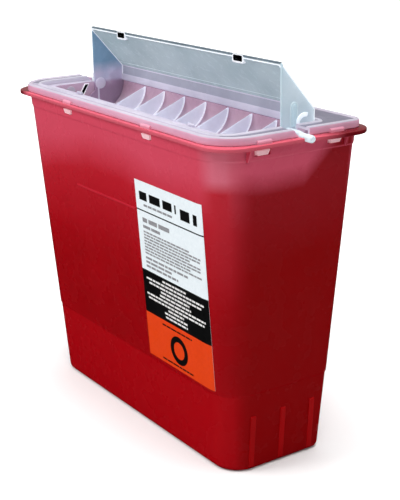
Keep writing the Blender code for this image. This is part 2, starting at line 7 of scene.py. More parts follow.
import json
from math import ceil, cos, pi, radians, sin, sqrt
from random import Random

import bmesh
import bpy
from mathutils import Matrix, Vector


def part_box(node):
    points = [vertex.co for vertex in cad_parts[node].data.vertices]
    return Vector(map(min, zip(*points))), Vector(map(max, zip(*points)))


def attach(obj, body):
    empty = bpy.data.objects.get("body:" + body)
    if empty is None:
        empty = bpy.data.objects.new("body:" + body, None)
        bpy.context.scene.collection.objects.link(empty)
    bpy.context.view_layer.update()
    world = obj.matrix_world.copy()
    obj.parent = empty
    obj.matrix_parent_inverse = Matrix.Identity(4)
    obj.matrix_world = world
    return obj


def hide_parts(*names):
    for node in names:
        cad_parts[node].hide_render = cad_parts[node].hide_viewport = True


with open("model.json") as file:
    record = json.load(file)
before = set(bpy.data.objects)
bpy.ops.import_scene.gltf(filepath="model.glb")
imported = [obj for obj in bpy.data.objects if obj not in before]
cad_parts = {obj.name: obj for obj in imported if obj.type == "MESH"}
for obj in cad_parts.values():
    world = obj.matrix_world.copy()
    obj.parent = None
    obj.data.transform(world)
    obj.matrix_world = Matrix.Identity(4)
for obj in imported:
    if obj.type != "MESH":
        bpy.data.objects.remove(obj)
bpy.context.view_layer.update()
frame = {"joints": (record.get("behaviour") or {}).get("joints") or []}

MM = 0.001


def mm(*lengths):
    """Lengths given in millimetres, as a tuple in metres."""
    return tuple(length * MM for length in lengths)


# -------------------------------- sizes shared by the mouldings

_, tub_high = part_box("container_body")
lid_low, lid_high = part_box("lid_cover")
_, hood_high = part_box("door_hood")
tray_low, tray_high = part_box("drop_tray")
label_low, label_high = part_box("front_label")
PIVOT = Vector(frame["joints"][0]["pos_m"])

# the body and the material slot that the pieces of each moulding belong to
TUB, LID = ("container", "tub_red"), ("container", "lid_natural")
HOOD, LABEL = ("door", "hood_clear"), ("container", "label_paper")
SIDES = ((-1, "left"), (1, "right"))

FLANGE_TOP_Z = tub_high.z
TUB_RIM_Z = FLANGE_TOP_Z - 2.5 * MM
RIM_HALF_WIDTH = 134.9 * MM
# outlines seen from above: half width, front, back, and the radius of the front and back corners
TUB_BASE = mm(120.0, -39.5, 39.8, 19.3, 8.0)
TUB_RIM = (RIM_HALF_WIDTH, -57.0 * MM, 53.2 * MM, 30.0 * MM, 8.0 * MM)
TUB_WALL, STEP_DEPTH = mm(1.8, 0.6)
STEP_Z, BAND_Z = mm(58.0, 219.5)

LID_HALF_WIDTH, LID_FRONT, LID_BACK, LID_TOP_Z = lid_high.x, lid_low.y, lid_high.y, lid_high.z
LID_OUTLINE = (LID_HALF_WIDTH, LID_FRONT, LID_BACK, 25.0 * MM, 9.0 * MM)
LID_PLATE, SKIRT_WALL, DECK_DROP = mm(2.0, 1.8, 0.9)
OPENING_FRONT, LEDGE_HALF_WIDTH, LEDGE_Z = mm(-47.5, 120.2, 231.5)
OPENING = (123.0 * MM, OPENING_FRONT, 30.0 * MM, 14.0 * MM, 3.0 * MM)
LEDGE = (LEDGE_HALF_WIDTH, -34.0 * MM, 29.4 * MM, 6.0 * MM, 3.0 * MM)
LIP_Z, CHUTE_Z, CHUTE_WALL = 226.0 * MM, lid_low.z, 1.5 * MM
CHANNEL_RADIUS, CHANNEL_FLARE = mm(3.8, 6.0)

HOOD_HALF_WIDTH, HOOD_TOP_Z, HOOD_FRONT_Y = hood_high.x, hood_high.z, 1.3 * MM
PLATE_THICKNESS, HOOD_WALL = mm(1.5, 1.6)
PLATE_INNER = HOOD_HALF_WIDTH - PLATE_THICKNESS
HOOD_LIP_Z = HOOD_TOP_Z - 2.5 * MM
BEND_Y, BEND_Z, HOOD_FOOT_Z = mm(29.0, 242.0, 230.1)
BEND_INNER_Y = BEND_Y - HOOD_WALL
PANEL_SLOPE = (BEND_Z - HOOD_LIP_Z) / (BEND_INNER_Y - HOOD_FRONT_Y)
DRUM_RADIUS, TRAY_WALL = PIVOT.z - tray_low.z, 1.5 * MM
TRAY_FRONT_Y, TRAY_LIP_Z = mm(-27.0, 214.0)

# -------------------------------- mesh helpers

CORNER_STEPS = 16
SIDE_STATIONS = [0.1 * k for k in range(1, 10)]
EAR_START, EAR_FULL = 0.5, 0.8  # shares of the end wall's straight run where the flange widens


def smooth(mesh, angle):
    """Shades a mesh smooth, apart from edges sharper than `angle` degrees."""
    mesh.shade_smooth()
    mesh.set_sharp_from_angle(angle=radians(angle))


def mesh_from(shape, smooth_angle=40):
    bmesh.ops.recalc_face_normals(shape, faces=shape.faces)
    mesh = bpy.data.meshes.new("mesh")
    shape.to_mesh(mesh)
    shape.free()
    smooth(mesh, smooth_angle)
    return mesh


def add(name, mesh):
    mesh.name = name
    piece = bpy.data.objects.new(name, mesh)
    bpy.context.scene.collection.objects.link(piece)
    return piece


def finish(piece, moulding, material, node=None, edge=None):
    """Gives a piece its rounded edges, material and body, and hides the CAD node that it stands for.

    `material` is a name in MATERIALS, or None for a piece whose faces are painted already, and `edge`
    is the width of its rounded edges and their number of segments.
    """
    if edge:
        modifier = piece.modifiers.new("Bevel", "BEVEL")
        modifier.width, modifier.segments = edge
        modifier.limit_method = "ANGLE"
        modifier.angle_limit = radians(30)
        modifier.harden_normals = True
    if material:
        piece.data.materials.clear()
        piece.data.materials.append(MATERIALS[material])
    body, slot = moulding
    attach(piece, body)
    if node:
        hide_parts(node)


def make(name, mesh, *details, **more):
    """Adds a piece that needs no cutting, and finishes it."""
    finish(add(name, mesh), *details, **more)


def paint(piece, names, chooser):
    """Gives each face the material, one of `names`, that `chooser` picks for its centre and normal."""
    piece.data.materials.clear()
    for name in names:
        piece.data.materials.append(MATERIALS[name])
    for face in piece.data.polygons:
        face.material_index = names.index(chooser(face.center, face.normal))


def cut(piece, *cutters):
    """Subtracts helper meshes and bakes the result into the piece's own mesh."""
    helpers = []
    for cutter in cutters:
        helper = add("cutter", cutter)
        modifier = piece.modifiers.new("Cut", "BOOLEAN")
        modifier.operation = "DIFFERENCE"
        modifier.solver = "EXACT"
        modifier.object = helper
        helpers.append(helper)
    graph = bpy.context.evaluated_depsgraph_get()
    graph.update()
    mesh = bpy.data.meshes.new_from_object(piece.evaluated_get(graph))
    mesh.name = piece.name
    piece.modifiers.clear()
    piece.data = mesh
    for helper in helpers:
        bpy.data.objects.remove(helper)


def smooth_step(low, high, value):
    t = min(1.0, max(0.0, (value - low) / (high - low)))
    return t * t * (3 - 2 * t)


def depth_inside(point, shape):
    """How far a point lies inside an outline seen from above; negative outside."""
    half_width, front, back, front_radius, back_radius = shape
    radius = front_radius if point.y < (front + back) / 2 else back_radius
    past_x = abs(point.x) - (half_width - radius)
    past_y = max(front + radius - point.y, point.y - (back - radius))
    if past_x > 0 and past_y > 0:
        return radius - sqrt(past_x ** 2 + past_y ** 2)
    return radius - max(past_x, past_y)


def outline(shape, z, grow=0.0, ear=0.0):
    """The points of an outline at z, grown all round, anticlockwise from the right end wall's front corner.

    `ear` is how much further out the end walls stand towards the back.
    """
    half_width, front, back = shape[0] + grow, shape[1] - grow, shape[2] + grow
    front_radius, back_radius = shape[3] + grow, shape[4] + grow
    start, stop = front + front_radius, back - back_radius
    side_wall = [(half_width + ear * smooth_step(EAR_START, EAR_FULL, share), start + (stop - start) * share)
                 for share in SIDE_STATIONS]
    points = []
    front_corner = (half_width - front_radius, start, front_radius)
    back_corner = (half_width - back_radius + ear, stop, back_radius)
    for side, (x, y, radius), angle in ((1, front_corner, -90), (1, back_corner, 0),
                                        (-1, back_corner, 90), (-1, front_corner, 180)):
        points += arc_points((side * x, y), radius, angle, angle + 90, CORNER_STEPS)
        if angle == -90:
            points += side_wall
        if angle == 90:
            points += [(-x, y) for x, y in side_wall[::-1]]
    return [Vector((x, y, z)) for x, y in points]


def loft(rings, closed_loop=False, smooth_angle=40):
    """Skins a stack of outlines with equal point counts; the ends are capped, or joined to each other."""
    shape = bmesh.new()
    rows = [[shape.verts.new(point) for point in ring] for ring in rings]
    pairs = list(zip(rows, rows[1:]))
    if closed_loop:
        pairs.append((rows[-1], rows[0]))
    else:
        shape.faces.new(rows[0])
        shape.faces.new(rows[-1])
    count = len(rows[0])
    for low, high in pairs:
        for i in range(count):
            j = (i + 1) % count
            shape.faces.new((low[i], low[j], high[j], high[i]))
    return mesh_from(shape, smooth_angle)


def stand(profile, x):
    """The points of a (y, z) profile, at x."""
    return [Vector((x, y, z)) for y, z in profile]


def prism(profile, start, stop, axis="X"):
    """Extrudes a closed profile: (y, z) points along X, or (x, z) points along Y."""
    if axis == "X":
        return loft([stand(profile, t) for t in (start, stop)])
    return loft([[Vector((x, t, z)) for x, z in profile] for t in (start, stop)])


def arc_points(centre, radius, start, stop, steps):
    """Points along an arc between two angles in degrees, both ends included."""
    return [
        (centre[0] + radius * cos(radians(start + (stop - start) * k / steps)),
         centre[1] + radius * sin(radians(start + (stop - start) * k / steps)))
        for k in range(steps + 1)
    ]


def circle(centre, radius, count=36):
    """Points round a full circle, without a repeated one."""
    return arc_points(centre, radius, 0, 360 - 360 / count, count - 1)


def rounded_box_ring(low, high, radius, y):
    """A rounded rectangle from (x, z) low to high, at y."""
    corners = ((high[0] - radius, low[1] + radius, -90), (high[0] - radius, high[1] - radius, 0),
               (low[0] + radius, high[1] - radius, 90), (low[0] + radius, low[1] + radius, 180))
    return [Vector((px, y, pz)) for x, z, start in corners
            for px, pz in arc_points((x, z), radius, start, start + 90, 4)]


def bar(path, radius):
    """A round bar along a path of points."""
    rings = []
    for k, point in enumerate(path):
        before, after = path[max(k - 1, 0)], path[min(k + 1, len(path) - 1)]
        along = (after - before).normalized()
        side = along.orthogonal() if k == 0 else side - along * side.dot(along)
        side.normalize()
        other = along.cross(side)
        rings.append([point + radius * (side * a + other * b) for a, b in circle((0.0, 0.0), 1.0, 12)])
    return loft(rings)


# -------------------------------- material helpers


class Nodes:
    """Short names for building one material's node tree."""

    def __init__(self, name):
        self.material = bpy.data.materials.new(name)
        self.material.use_nodes = True
        self.tree = self.material.node_tree
        self.shader = self.tree.nodes["Principled BSDF"]
        self.output = self.tree.nodes["Material Output"]
        self.position = self.make("ShaderNodeTexCoord").outputs["Object"]

    def make(self, kind, **settings):
        node = self.tree.nodes.new(kind)
        for key, value in settings.items():
            if key in node.inputs:
                self.fill(node.inputs[key], value)
            else:
                setattr(node, key, value)
        return node

    def fill(self, target, value):
        """Sets an input to a value, or links it to another node's output."""
        if hasattr(value, "links"):
            self.tree.links.new(value, target)
        else:
            target.default_value = value

    def surface(self, name, value):
        self.fill(self.shader.inputs[name], value)

    def noise(self, scale, detail=3.0, roughness=0.5):
        settings = {"Scale": scale, "Detail": detail, "Roughness": roughness, "Vector": self.position}
        return self.make("ShaderNodeTexNoise", **settings).outputs["Fac"]

    def remap(self, value, from_low, from_high, to_low=0.0, to_high=1.0):
        settings = {"Value": value, "From Min": from_low, "From Max": from_high,
                    "To Min": to_low, "To Max": to_high}
        return self.make("ShaderNodeMapRange", clamp=True, **settings).outputs["Result"]

    def mottle(self, low, high, *noise):
        """Noise from `low` to `high`."""
        return self.remap(self.noise(*noise), 0.3, 0.7, low, high)

    def math(self, operation, first, second=0.0):
        node = self.make("ShaderNodeMath", operation=operation)
        self.fill(node.inputs[0], first)
        self.fill(node.inputs[1], second)
        return node.outputs["Value"]

    def plus(self, first, second):
        return self.math("ADD", first, second)

    def times(self, first, second):
        return self.math("MULTIPLY", first, second)

    def mix(self, factor, first, second, kind="RGBA"):
        node = self.make("ShaderNodeMix", data_type=kind)
        for key, value in (("Factor", factor), ("A", first), ("B", second)):
            self.fill(node.inputs[key], value)
        return node.outputs["Result"]

    def blend(self, factor, first, second):
        return self.mix(factor, first, second, "FLOAT")

    def mix_shaders(self, factor, first, second):
        node = self.make("ShaderNodeMixShader", Fac=factor)
        self.fill(node.inputs[1], first)
        self.fill(node.inputs[2], second)
        return node.outputs["Shader"]

    def axis(self, name, vector=None):
        return self.make("ShaderNodeSeparateXYZ", Vector=vector or self.position).outputs[name]

    def bump(self, distance, *heights):
        """Chains bumps from (height, strength) pairs into the shader's normal."""
        normal = None
        for height, strength in heights:
            node = self.make("ShaderNodeBump", Strength=strength, Distance=distance, Height=height)
            if normal:
                self.fill(node.inputs["Normal"], normal)
            normal = node.outputs["Normal"]
        self.surface("Normal", normal)


def rgb(red, green, blue):
    """An sRGB colour, 0 to 255, as linear RGBA."""
    def linear(value):
        value /= 255
        return value / 12.92 if value <= 0.04045 else ((value + 0.055) / 1.055) ** 2.4
    return (linear(red), linear(green), linear(blue), 1.0)


# -------------------------------- materials

# each painted sheen of the tub, a painted reflection with painted light from inside: where it starts, where
# it is full, and how strong it is
FRONT_PAINTED_SHEEN = (130 * MM, 215 * MM, 0.08)
FRONT_HIGH_PAINTED_SHEEN = (176 * MM, 204 * MM, 0.36)
END_PAINTED_SHEEN, END_CRISP_PAINTED_SHEEN = (150 * MM, 200 * MM, 0.05), (196 * MM, 208 * MM, 0.55)
CORNER_PAINTED_SHEEN, CORNER_CRISP_PAINTED_SHEEN = (130 * MM, 200 * MM, 0.08), (198.5 * MM, 207 * MM, 0.58)
PAINTED_SHEEN_RISE = 30 * MM  # how much higher the end wall's painted sheen starts at the back: a painted reflection's slanted edge
PAINTED_LIGHT_LOW_Z, PAINTED_LIGHT_HIGH_Z = mm(110, 190)  # between these heights the red is painted lighter: painted light coming down through the lid


def tub_plastic():
    """Red polypropylene, deep red low down; towards the rim painted lighter and pinker, a painted reflection
    and painted light from inside.
    """
    nodes = Nodes("tub_plastic")
    height = nodes.axis("Z")
    facing_x = nodes.math("ABSOLUTE", nodes.axis("X", nodes.make("ShaderNodeNewGeometry").outputs["Normal"]))
    end_wall = nodes.remap(facing_x, 0.75, 0.98)
    corner = nodes.times(nodes.remap(facing_x, 0.15, 0.50), nodes.remap(facing_x, 0.72, 0.97, 1.0, 0.0))
    level = nodes.plus(height, nodes.mottle(-10 * MM, 10 * MM, 7.0, 2.0))

    def painted_sheen(where, low, high, strength):
        return nodes.times(nodes.remap(where, low, high), strength)

    # painted sheen: a painted reflection and painted light, lighter and pinker towards the rim, crisp on the
    # end walls and corners
    front = nodes.plus(painted_sheen(level, *FRONT_PAINTED_SHEEN), painted_sheen(level, *FRONT_HIGH_PAINTED_SHEEN))
    rise = nodes.remap(nodes.axis("Y"), 10 * MM, 52 * MM, 0.0, PAINTED_SHEEN_RISE)
    end = painted_sheen(nodes.math("SUBTRACT", level, rise), *END_CRISP_PAINTED_SHEEN)
    end = nodes.plus(end, painted_sheen(level, *END_PAINTED_SHEEN))
    corner_sheen = painted_sheen(height, *CORNER_CRISP_PAINTED_SHEEN)
    corner_sheen = nodes.plus(painted_sheen(level, *CORNER_PAINTED_SHEEN), corner_sheen)
    painted_sheen_share = nodes.blend(corner, nodes.blend(end_wall, front, end), corner_sheen)
    painted_sheen_share = nodes.times(painted_sheen_share, nodes.mottle(0.95, 1.05, 24.0))
    deep = nodes.mix(nodes.remap(nodes.noise(18.0), 0.35, 0.65), rgb(142, 0, 7), rgb(151, 0, 10))
    # painted light: the deep red lightens higher up
    deep = nodes.mix(nodes.remap(level, PAINTED_LIGHT_LOW_Z, PAINTED_LIGHT_HIGH_Z), deep, rgb(176, 8, 26))
    deep = nodes.mix(nodes.remap(height, STEP_Z - 2 * MM, STEP_Z + 2 * MM, 1.0, 0.0), deep, rgb(161, 1, 12))
    # painted shade: both end walls get a darker red
    deep = nodes.mix(end_wall, deep, rgb(134, 0, 3))
    # the pink colours of the painted sheen, whiter at the corners
    wall = nodes.mix(painted_sheen_share, deep, nodes.mix(corner, rgb(224, 98, 126), rgb(220, 124, 146)))
    rim = nodes.remap(height, TUB_RIM_Z - 0.7 * MM, TUB_RIM_Z + 0.5 * MM)
    shaded = nodes.math("MAXIMUM", nodes.remap(nodes.axis("Y"), 12 * MM, 34 * MM),
                        nodes.remap(nodes.axis("X"), -121 * MM, -113 * MM, 1.0, 0.0))
    flange = nodes.mix(shaded, rgb(188, 80, 96), rgb(96, 2, 12))
    nodes.surface("Base Color", nodes.mix(rim, wall, flange))
    nodes.surface("Roughness", nodes.mottle(0.24, 0.30, 60.0))
    nodes.surface("Specular IOR Level", 0.10)
    nodes.bump(1.2 * MM, (nodes.noise(14.0, 1.0), 0.08), (nodes.noise(1400.0, 2.0), 0.02))
    return nodes.material


def natural_plastic(name, tint_low, tint_high, opacity, roughness, glow, painted_glow):
    """Undyed polypropylene: cloudy, with flow marks and a soft gloss, and partly seen through.

    `glow` is the share of its light that comes through it, and `painted_glow` is painted light: a faint even
    emission that stands for light spread within the cloudy plastic, raised on pieces that lie in shade.
    """
    nodes = Nodes(f"{name}_plastic")
    cloud = nodes.noise(28.0, 4.0, 0.55)
    colour = nodes.mix(nodes.remap(cloud, 0.35, 0.65), rgb(*tint_low), rgb(*tint_high))
    for low, high, other in FADES.get(name, ()):
        wavy = nodes.plus(nodes.axis("Z"), nodes.remap(cloud, 0.3, 0.7, -1 * MM, 1 * MM))
        colour = nodes.mix(nodes.remap(wavy, low, high), rgb(*other), colour)
    nodes.surface("Base Color", colour)
    nodes.surface("Roughness", nodes.mottle(*roughness, 240.0, 3.0, 0.6))
    nodes.surface("IOR", 1.5)
    nodes.surface("Specular IOR Level", GLOSS.get(name, 0.5))
    nodes.surface("Emission Color", rgb(*tint_high))
    # painted light: an even glow, though the plastic is no lamp
    nodes.surface("Emission Strength", painted_glow)
    nodes.bump(1.0 * MM, (nodes.noise(22.0, 2.0), 0.06), (nodes.noise(1500.0, 2.0), 0.05))
    edge = nodes.make("ShaderNodeLayerWeight", Blend=0.35).outputs["Facing"]
    thickness = nodes.remap(nodes.plus(nodes.times(cloud, 0.5), edge), 0.15, 1.1, *opacity)
    through = nodes.make("ShaderNodeBsdfTransparent").outputs["BSDF"]
    glowing = nodes.make("ShaderNodeBsdfTranslucent", Color=colour).outputs["BSDF"]
    plastic = nodes.mix_shaders(glow, nodes.shader.outputs["BSDF"], glowing)
    nodes.fill(nodes.output.inputs["Surface"], nodes.mix_shaders(thickness, through, plastic))
    return nodes.material


def ink(name, colour, second):
    """Coated label stock, or ink on it: a trace of fibre and print mottle."""
    nodes = Nodes(f"label_{name}")
    mottle = nodes.mottle(0.0, 1.0, 420.0, 5.0, 0.65)
    nodes.surface("Base Color", nodes.mix(mottle, rgb(*colour), rgb(*second)))
    nodes.surface("Roughness", nodes.mottle(0.34, 0.50, 90.0))
    nodes.surface("Specular IOR Level", 0.12)
    nodes.bump(0.2 * MM, (nodes.noise(2600.0), 0.12))
    return nodes.material


SATIN, SOFT, GLOSSY, POLISHED = (0.28, 0.42), (0.24, 0.34), (0.20, 0.30), (0.14, 0.22)  # ranges of roughness
# name: two tints that it drifts between, least and most opacity, roughness, glow, painted glow
PLASTICS = {
    # tub_rib: a lighter red than the end wall round it, painted light on the ribs
    "tub_rib": ((166, 0, 5), (174, 2, 8), (1.0, 1.0), SATIN, 0.2, 0.0),
    "fill_line": ((192, 30, 48), (198, 36, 54), (1.0, 1.0), SATIN, 0.2, 0.0),
    # skirt, bead, deck, ledge, chute, cut and groove are lit and shaded copies of the lid's plastic, picked
    # per face by the light that reaches it: painted light and shade
    "skirt": ((226, 168, 192), (234, 186, 204), (0.92, 0.98), SATIN, 0.5, 0.08),
    "bead": ((204, 202, 214), (220, 218, 228), (0.90, 0.98), SATIN, 0.5, 0.03),
    "deck": ((112, 110, 126), (132, 130, 146), (0.92, 0.98), SATIN, 0.3, 0.0),
    "ledge": ((206, 204, 220), (222, 220, 234), (0.88, 0.97), SATIN, 0.5, 0.08),
    "chute": ((206, 178, 200), (220, 196, 214), (0.84, 0.96), SATIN, 0.5, 0.12),
    "hook": ((252, 216, 222), (255, 232, 236), (0.94, 0.99), SATIN, 0.5, 0.2),
    "panel": ((184, 198, 204), (202, 213, 218), (0.84, 0.96), GLOSSY, 0.65, 0.01),
    "lip": ((84, 100, 112), (108, 124, 136), (0.86, 0.96), POLISHED, 0.15, 0.0),
    # plate_left is the shaded copy of the side plates' plastic: its darker steel-blue is painted shade
    "plate_left": ((128, 164, 192), (144, 178, 204), (0.84, 0.95), GLOSSY, 0.5, 0.07),
    # band: a bright tint with a strong glow, painted light on trim that lies in the hood's shade
    "band": ((222, 218, 232), (238, 234, 244), (0.90, 0.97), SATIN, 0.6, 0.30),
    # foot: a lighter copy of the panel's plastic, painted light on the upright foot that the hood shades
    "foot": ((196, 198, 212), (210, 212, 224), (0.86, 0.96), GLOSSY, 0.65, 0.14),
    # pillar: brightened, painted light on the hinge pillar
    "pillar": ((214, 230, 236), (226, 238, 243), (0.90, 0.97), GLOSSY, 0.6, 0.22),
    # cut: painted light on the channel walls beside the pins, which lie in shade
    "cut": ((214, 208, 222), (228, 222, 234), (0.90, 0.98), SATIN, 0.5, 0.28),
    "groove": ((184, 180, 196), (202, 198, 212), (0.90, 0.98), SATIN, 0.5, 0.04),
    # plate_right is the lit copy of the side plates' plastic: painted light
    "plate_right": ((214, 228, 234), (228, 238, 243), (0.86, 0.96), GLOSSY, 0.6, 0.08),
    "tray": ((222, 220, 234), (238, 236, 246), (0.84, 0.96), SOFT, 0.5, 0.16),
    "drum": ((212, 180, 202), (224, 196, 214), (0.84, 0.96), SOFT, 0.5, 0.12),
    "fin": ((222, 224, 236), (238, 240, 248), (0.80, 0.94), SOFT, 0.6, 0.20),
    # edge: near white with the strongest glow, a painted highlight on frames, beads and ribs along their
    # edges
    "edge": ((244, 247, 252), (254, 254, 255), (0.95, 0.99), GLOSSY, 0.5, 0.45),
    # rib: the pins' own pale plastic, also used for beads that are painted highlights on the hood
    "rib": ((222, 234, 238), (236, 244, 247), (0.93, 0.98), GLOSSY, 0.5, 0.16),
    # shade: near black, painted shade for the closed cups behind the slots
    "shade": ((4, 4, 6), (9, 9, 12), (0.98, 1.0), SATIN, 0.0, 0.0),
}
GLOSS = {"tub_rib": 0.1, "fill_line": 0.1, "shade": 0.05}  # others have 0.5
# each (low z, high z, colour): below that height the plastic's colour drifts to another one
FADES = {
    # painted highlight: the skirt turns lighter along its lower edge
    "skirt": [(230 * MM, 233 * MM, (248, 176, 196))],
    # painted light: the left plate turns lavender, then mauve, lower down, for light from the lid wall and
    # red tub behind it
    "plate_left": [(237 * MM, 247 * MM, (214, 206, 226)), (229 * MM, 231.5 * MM, (196, 166, 192))],
    "drum": [(206 * MM, 222 * MM, (232, 226, 240))],
}
# name: paper or ink, and the second colour that it is mottled with
INKS = {
    "paper": ((226, 234, 238), (216, 225, 230)),
    "black": ((8, 8, 9), (16, 16, 17)),
    "white": ((214, 214, 214), (232, 232, 230)),
    "grey": ((120, 120, 124), (150, 150, 154)),
    "orange": ((212, 56, 0), (220, 63, 1)),
}
MATERIALS = {"tub": tub_plastic()}
MATERIALS.update({name: natural_plastic(name, *details) for name, details in PLASTICS.items()})
MATERIALS.update({name: ink(name, *colours) for name, colours in INKS.items()})

# -------------------------------- tub

BASE_FILLET, FLANGE_EDGE = mm(4.0, 0.4)
UNDER_FILLET, UNDER_MIDDLE = mm(1.2, 0.35)  # the fillet below the flange, and its middle ring
FLANGE_EAR = 4.0 * MM
FLANGE = (tub_high.x - FLANGE_EAR, -tub_high.y, tub_high.y, 21.0 * MM, 17.0 * MM)
HOOK_Z, TAB_OPENING_WIDTH = mm(224.0, 12.0)
WINDOW_LOW_Z, WINDOW_HIGH_Z = mm(222.2, 226.2)
NOTCH_LOW_Z, NOTCH_HIGH_Z, NOTCH_REACH = mm(228.8, 233.0, 2.1)
END_RIBS, END_RIB_WIDTH = mm(-22.0, 3.0, 28.0), 4.5 * MM
END_RIB_LOW_Z, END_RIB_HIGH_Z, END_RIB_SUNK = mm(3.0, 42.0, 0.9)
GUSSETS, GUSSET_WIDTH, GUSSET_REACH = mm(-36.0, 41.2), 1.6 * MM, 4.6 * MM
FILL_LINE_Z, FILL_LINE_START, FILL_LINE_WIDTH = mm(169.6, -53.0, 1.6)
PATCH_STEP = 1.2 * MM  # how finely a sheet on the front wall follows its corner


def tub_shape(z):
    """The outline of the tapered wall at z, as numbers."""
    return [base + (rim - base) * z / TUB_RIM_Z for base, rim in zip(TUB_BASE, TUB_RIM)]


def tub_ring(z, inset):
    """The tub's outline at z, moved inwards by `inset`."""
    return outline(tub_shape(z), z, -inset)


def flange_ring(z, inset):
    """The flange's outline at z, with its wider ears at the back, moved inwards by `inset`."""
    return outline(FLANGE, z, -inset, FLANGE_EAR)


def step_rings(z, low_inset, high_inset, rise=0.9 * MM):
    """A softened step in the wall, from one inset to another."""
    return [tub_ring(z - rise + 2 * rise * k / 4, low_inset + (high_inset - low_inset) * smooth_step(0, 4, k))
            for k in range(5)]


def base_rings(inset, floor_z, steps=6):
    """The rounded edge between the floor and the walls."""
    angles = [pi / 2 * k / steps for k in range(steps + 1)]
    return [tub_ring(floor_z + BASE_FILLET * (1 - cos(angle)), inset + BASE_FILLET * (1 - sin(angle)))
            for angle in angles]


def tab_places():
    """(node, outward direction, position along the wall, lid face, tub wall face) of each snap tab."""
    half_width, front, back, _, _ = tub_shape(HOOK_Z)
    walls = (
        ("front", ("left", "right"), "-Y", -LID_FRONT, -front),
        ("back", ("left", "right"), "+Y", LID_BACK, back),
        ("left", ("front", "back"), "-X", LID_HALF_WIDTH, half_width),
        ("right", ("front", "back"), "+X", LID_HALF_WIDTH, half_width),
    )
    places = []
    for wall, corners, direction, lid_face, wall_face in walls:
        for corner in corners:
            node = f"snap_tab_{wall}_{corner}"
            low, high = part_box(node)
            along = (low.x + high.x) / 2 if direction[1] == "Y" else (low.y + high.y) / 2
            places.append((node, direction, along, lid_face, wall_face + STEP_DEPTH))
    return places


def wall_prism(profile, direction, along, width):
    """Extrudes an (outward, z) profile across a wall that faces `direction`."""
    sign = -1 if direction[0] == "-" else 1
    turned = [(sign * outward, z) for outward, z in profile]
    return prism(turned, along - width / 2, along + width / 2, axis="X" if direction[1] == "Y" else "Y")


def channel(start, stop, flare=0.0):
    """The U-shaped groove around a pivot pin, wider at the top towards the front, as a cutter."""
    front, top = PIVOT.y - CHANNEL_RADIUS - flare, LID_TOP_Z + 5 * MM
    profile = ([(front, top), (front, LID_TOP_Z + 0.3 * MM)]
               + arc_points(PIVOT.yz, CHANNEL_RADIUS, 180, 360, 24) + [(PIVOT.y + CHANNEL_RADIUS, top)])
    return prism(profile, start, stop)


def make_tub():
    outer = base_rings(STEP_DEPTH, 0.0)
    outer += step_rings(STEP_Z, STEP_DEPTH, 0.0) + step_rings(BAND_Z, 0.0, -STEP_DEPTH)
    outer += [tub_ring(TUB_RIM_Z - UNDER_FILLET, -STEP_DEPTH),
              tub_ring(TUB_RIM_Z - UNDER_MIDDLE, -STEP_DEPTH - UNDER_MIDDLE),
              tub_ring(TUB_RIM_Z, -STEP_DEPTH - UNDER_FILLET)]
    edge = [(0.0, FLANGE_EDGE), (0.3 * FLANGE_EDGE, 0.3 * FLANGE_EDGE), (FLANGE_EDGE, 0.0)]
    flange = ([flange_ring(TUB_RIM_Z + rise, inset) for rise, inset in edge]
              + [flange_ring(FLANGE_TOP_Z - drop, inset) for drop, inset in edge[::-1]])
    inner = [tub_ring(FLANGE_TOP_Z, TUB_WALL - FLANGE_EDGE), tub_ring(FLANGE_TOP_Z - FLANGE_EDGE, TUB_WALL),
             tub_ring(STEP_Z, TUB_WALL + STEP_DEPTH)]
    inner += base_rings(TUB_WALL + STEP_DEPTH, TUB_WALL)[::-1]
    tub = add("tub", loft(outer + flange + inner))
    cutters = []
    for _, direction, along, lid_face, wall_face in tab_places():
        inside = wall_face - STEP_DEPTH - 2 * TUB_WALL
        for reach, low_z, high_z in ((wall_face + 2 * MM, WINDOW_LOW_Z, WINDOW_HIGH_Z),
                                     (lid_face + NOTCH_REACH, NOTCH_LOW_Z, NOTCH_HIGH_Z)):
            profile = [(inside, low_z), (reach, low_z), (reach, high_z), (inside, high_z)]
            cutters.append(wall_prism(profile, direction, along, TAB_OPENING_WIDTH))
    for side, _ in SIDES:
        cutters.append(channel(side * (RIM_HALF_WIDTH - 4 * MM), side * (tub_high.x + 7 * MM)))
    cut(tub, *cutters)
    smooth(tub.data, 35)
    finish(tub, TUB, "tub", "container_body")
    for side, label in SIDES:
        make_end_ribs(side, label)
        make_gussets(side, label)
    make_fill_line()


def make_end_ribs(side, label):
    """Stiffening ribs low on an end wall."""
    low_x, high_x = (tub_shape(z)[0] - STEP_DEPTH for z in (0.0, END_RIB_HIGH_Z))
    shape = [(low_x - END_RIB_SUNK, END_RIB_LOW_Z), (low_x + 0.5 * MM, END_RIB_LOW_Z),
             (high_x + 0.7 * MM, END_RIB_HIGH_Z - 1 * MM), (high_x - END_RIB_SUNK, END_RIB_HIGH_Z)]
    profile = [(side * x, z) for x, z in shape]
    for index, y in enumerate(END_RIBS):
        rib = prism(profile, y - END_RIB_WIDTH / 2, y + END_RIB_WIDTH / 2, axis="Y")
        make(f"end_rib_{label}_{index + 1}", rib, TUB, "tub_rib", edge=(0.5 * MM, 3))


def make_gussets(side, label):
    """Small webs between the flange and the band under it."""
    inside, top_z = RIM_HALF_WIDTH - TUB_WALL / 2, TUB_RIM_Z + 1 * MM
    shape = [(inside, BAND_Z - 0.5 * MM), (RIM_HALF_WIDTH + 1.2 * MM, BAND_Z),
             (RIM_HALF_WIDTH + GUSSET_REACH, top_z), (inside, top_z)]
    profile = [(side * x, z) for x, z in shape]
    for index, y in enumerate(GUSSETS):
        gusset = prism(profile, y - GUSSET_WIDTH / 2, y + GUSSET_WIDTH / 2, axis="Y")
        make(f"flange_gusset_{label}_{index + 1}", gusset, TUB, "tub", edge=(0.25 * MM, 2))


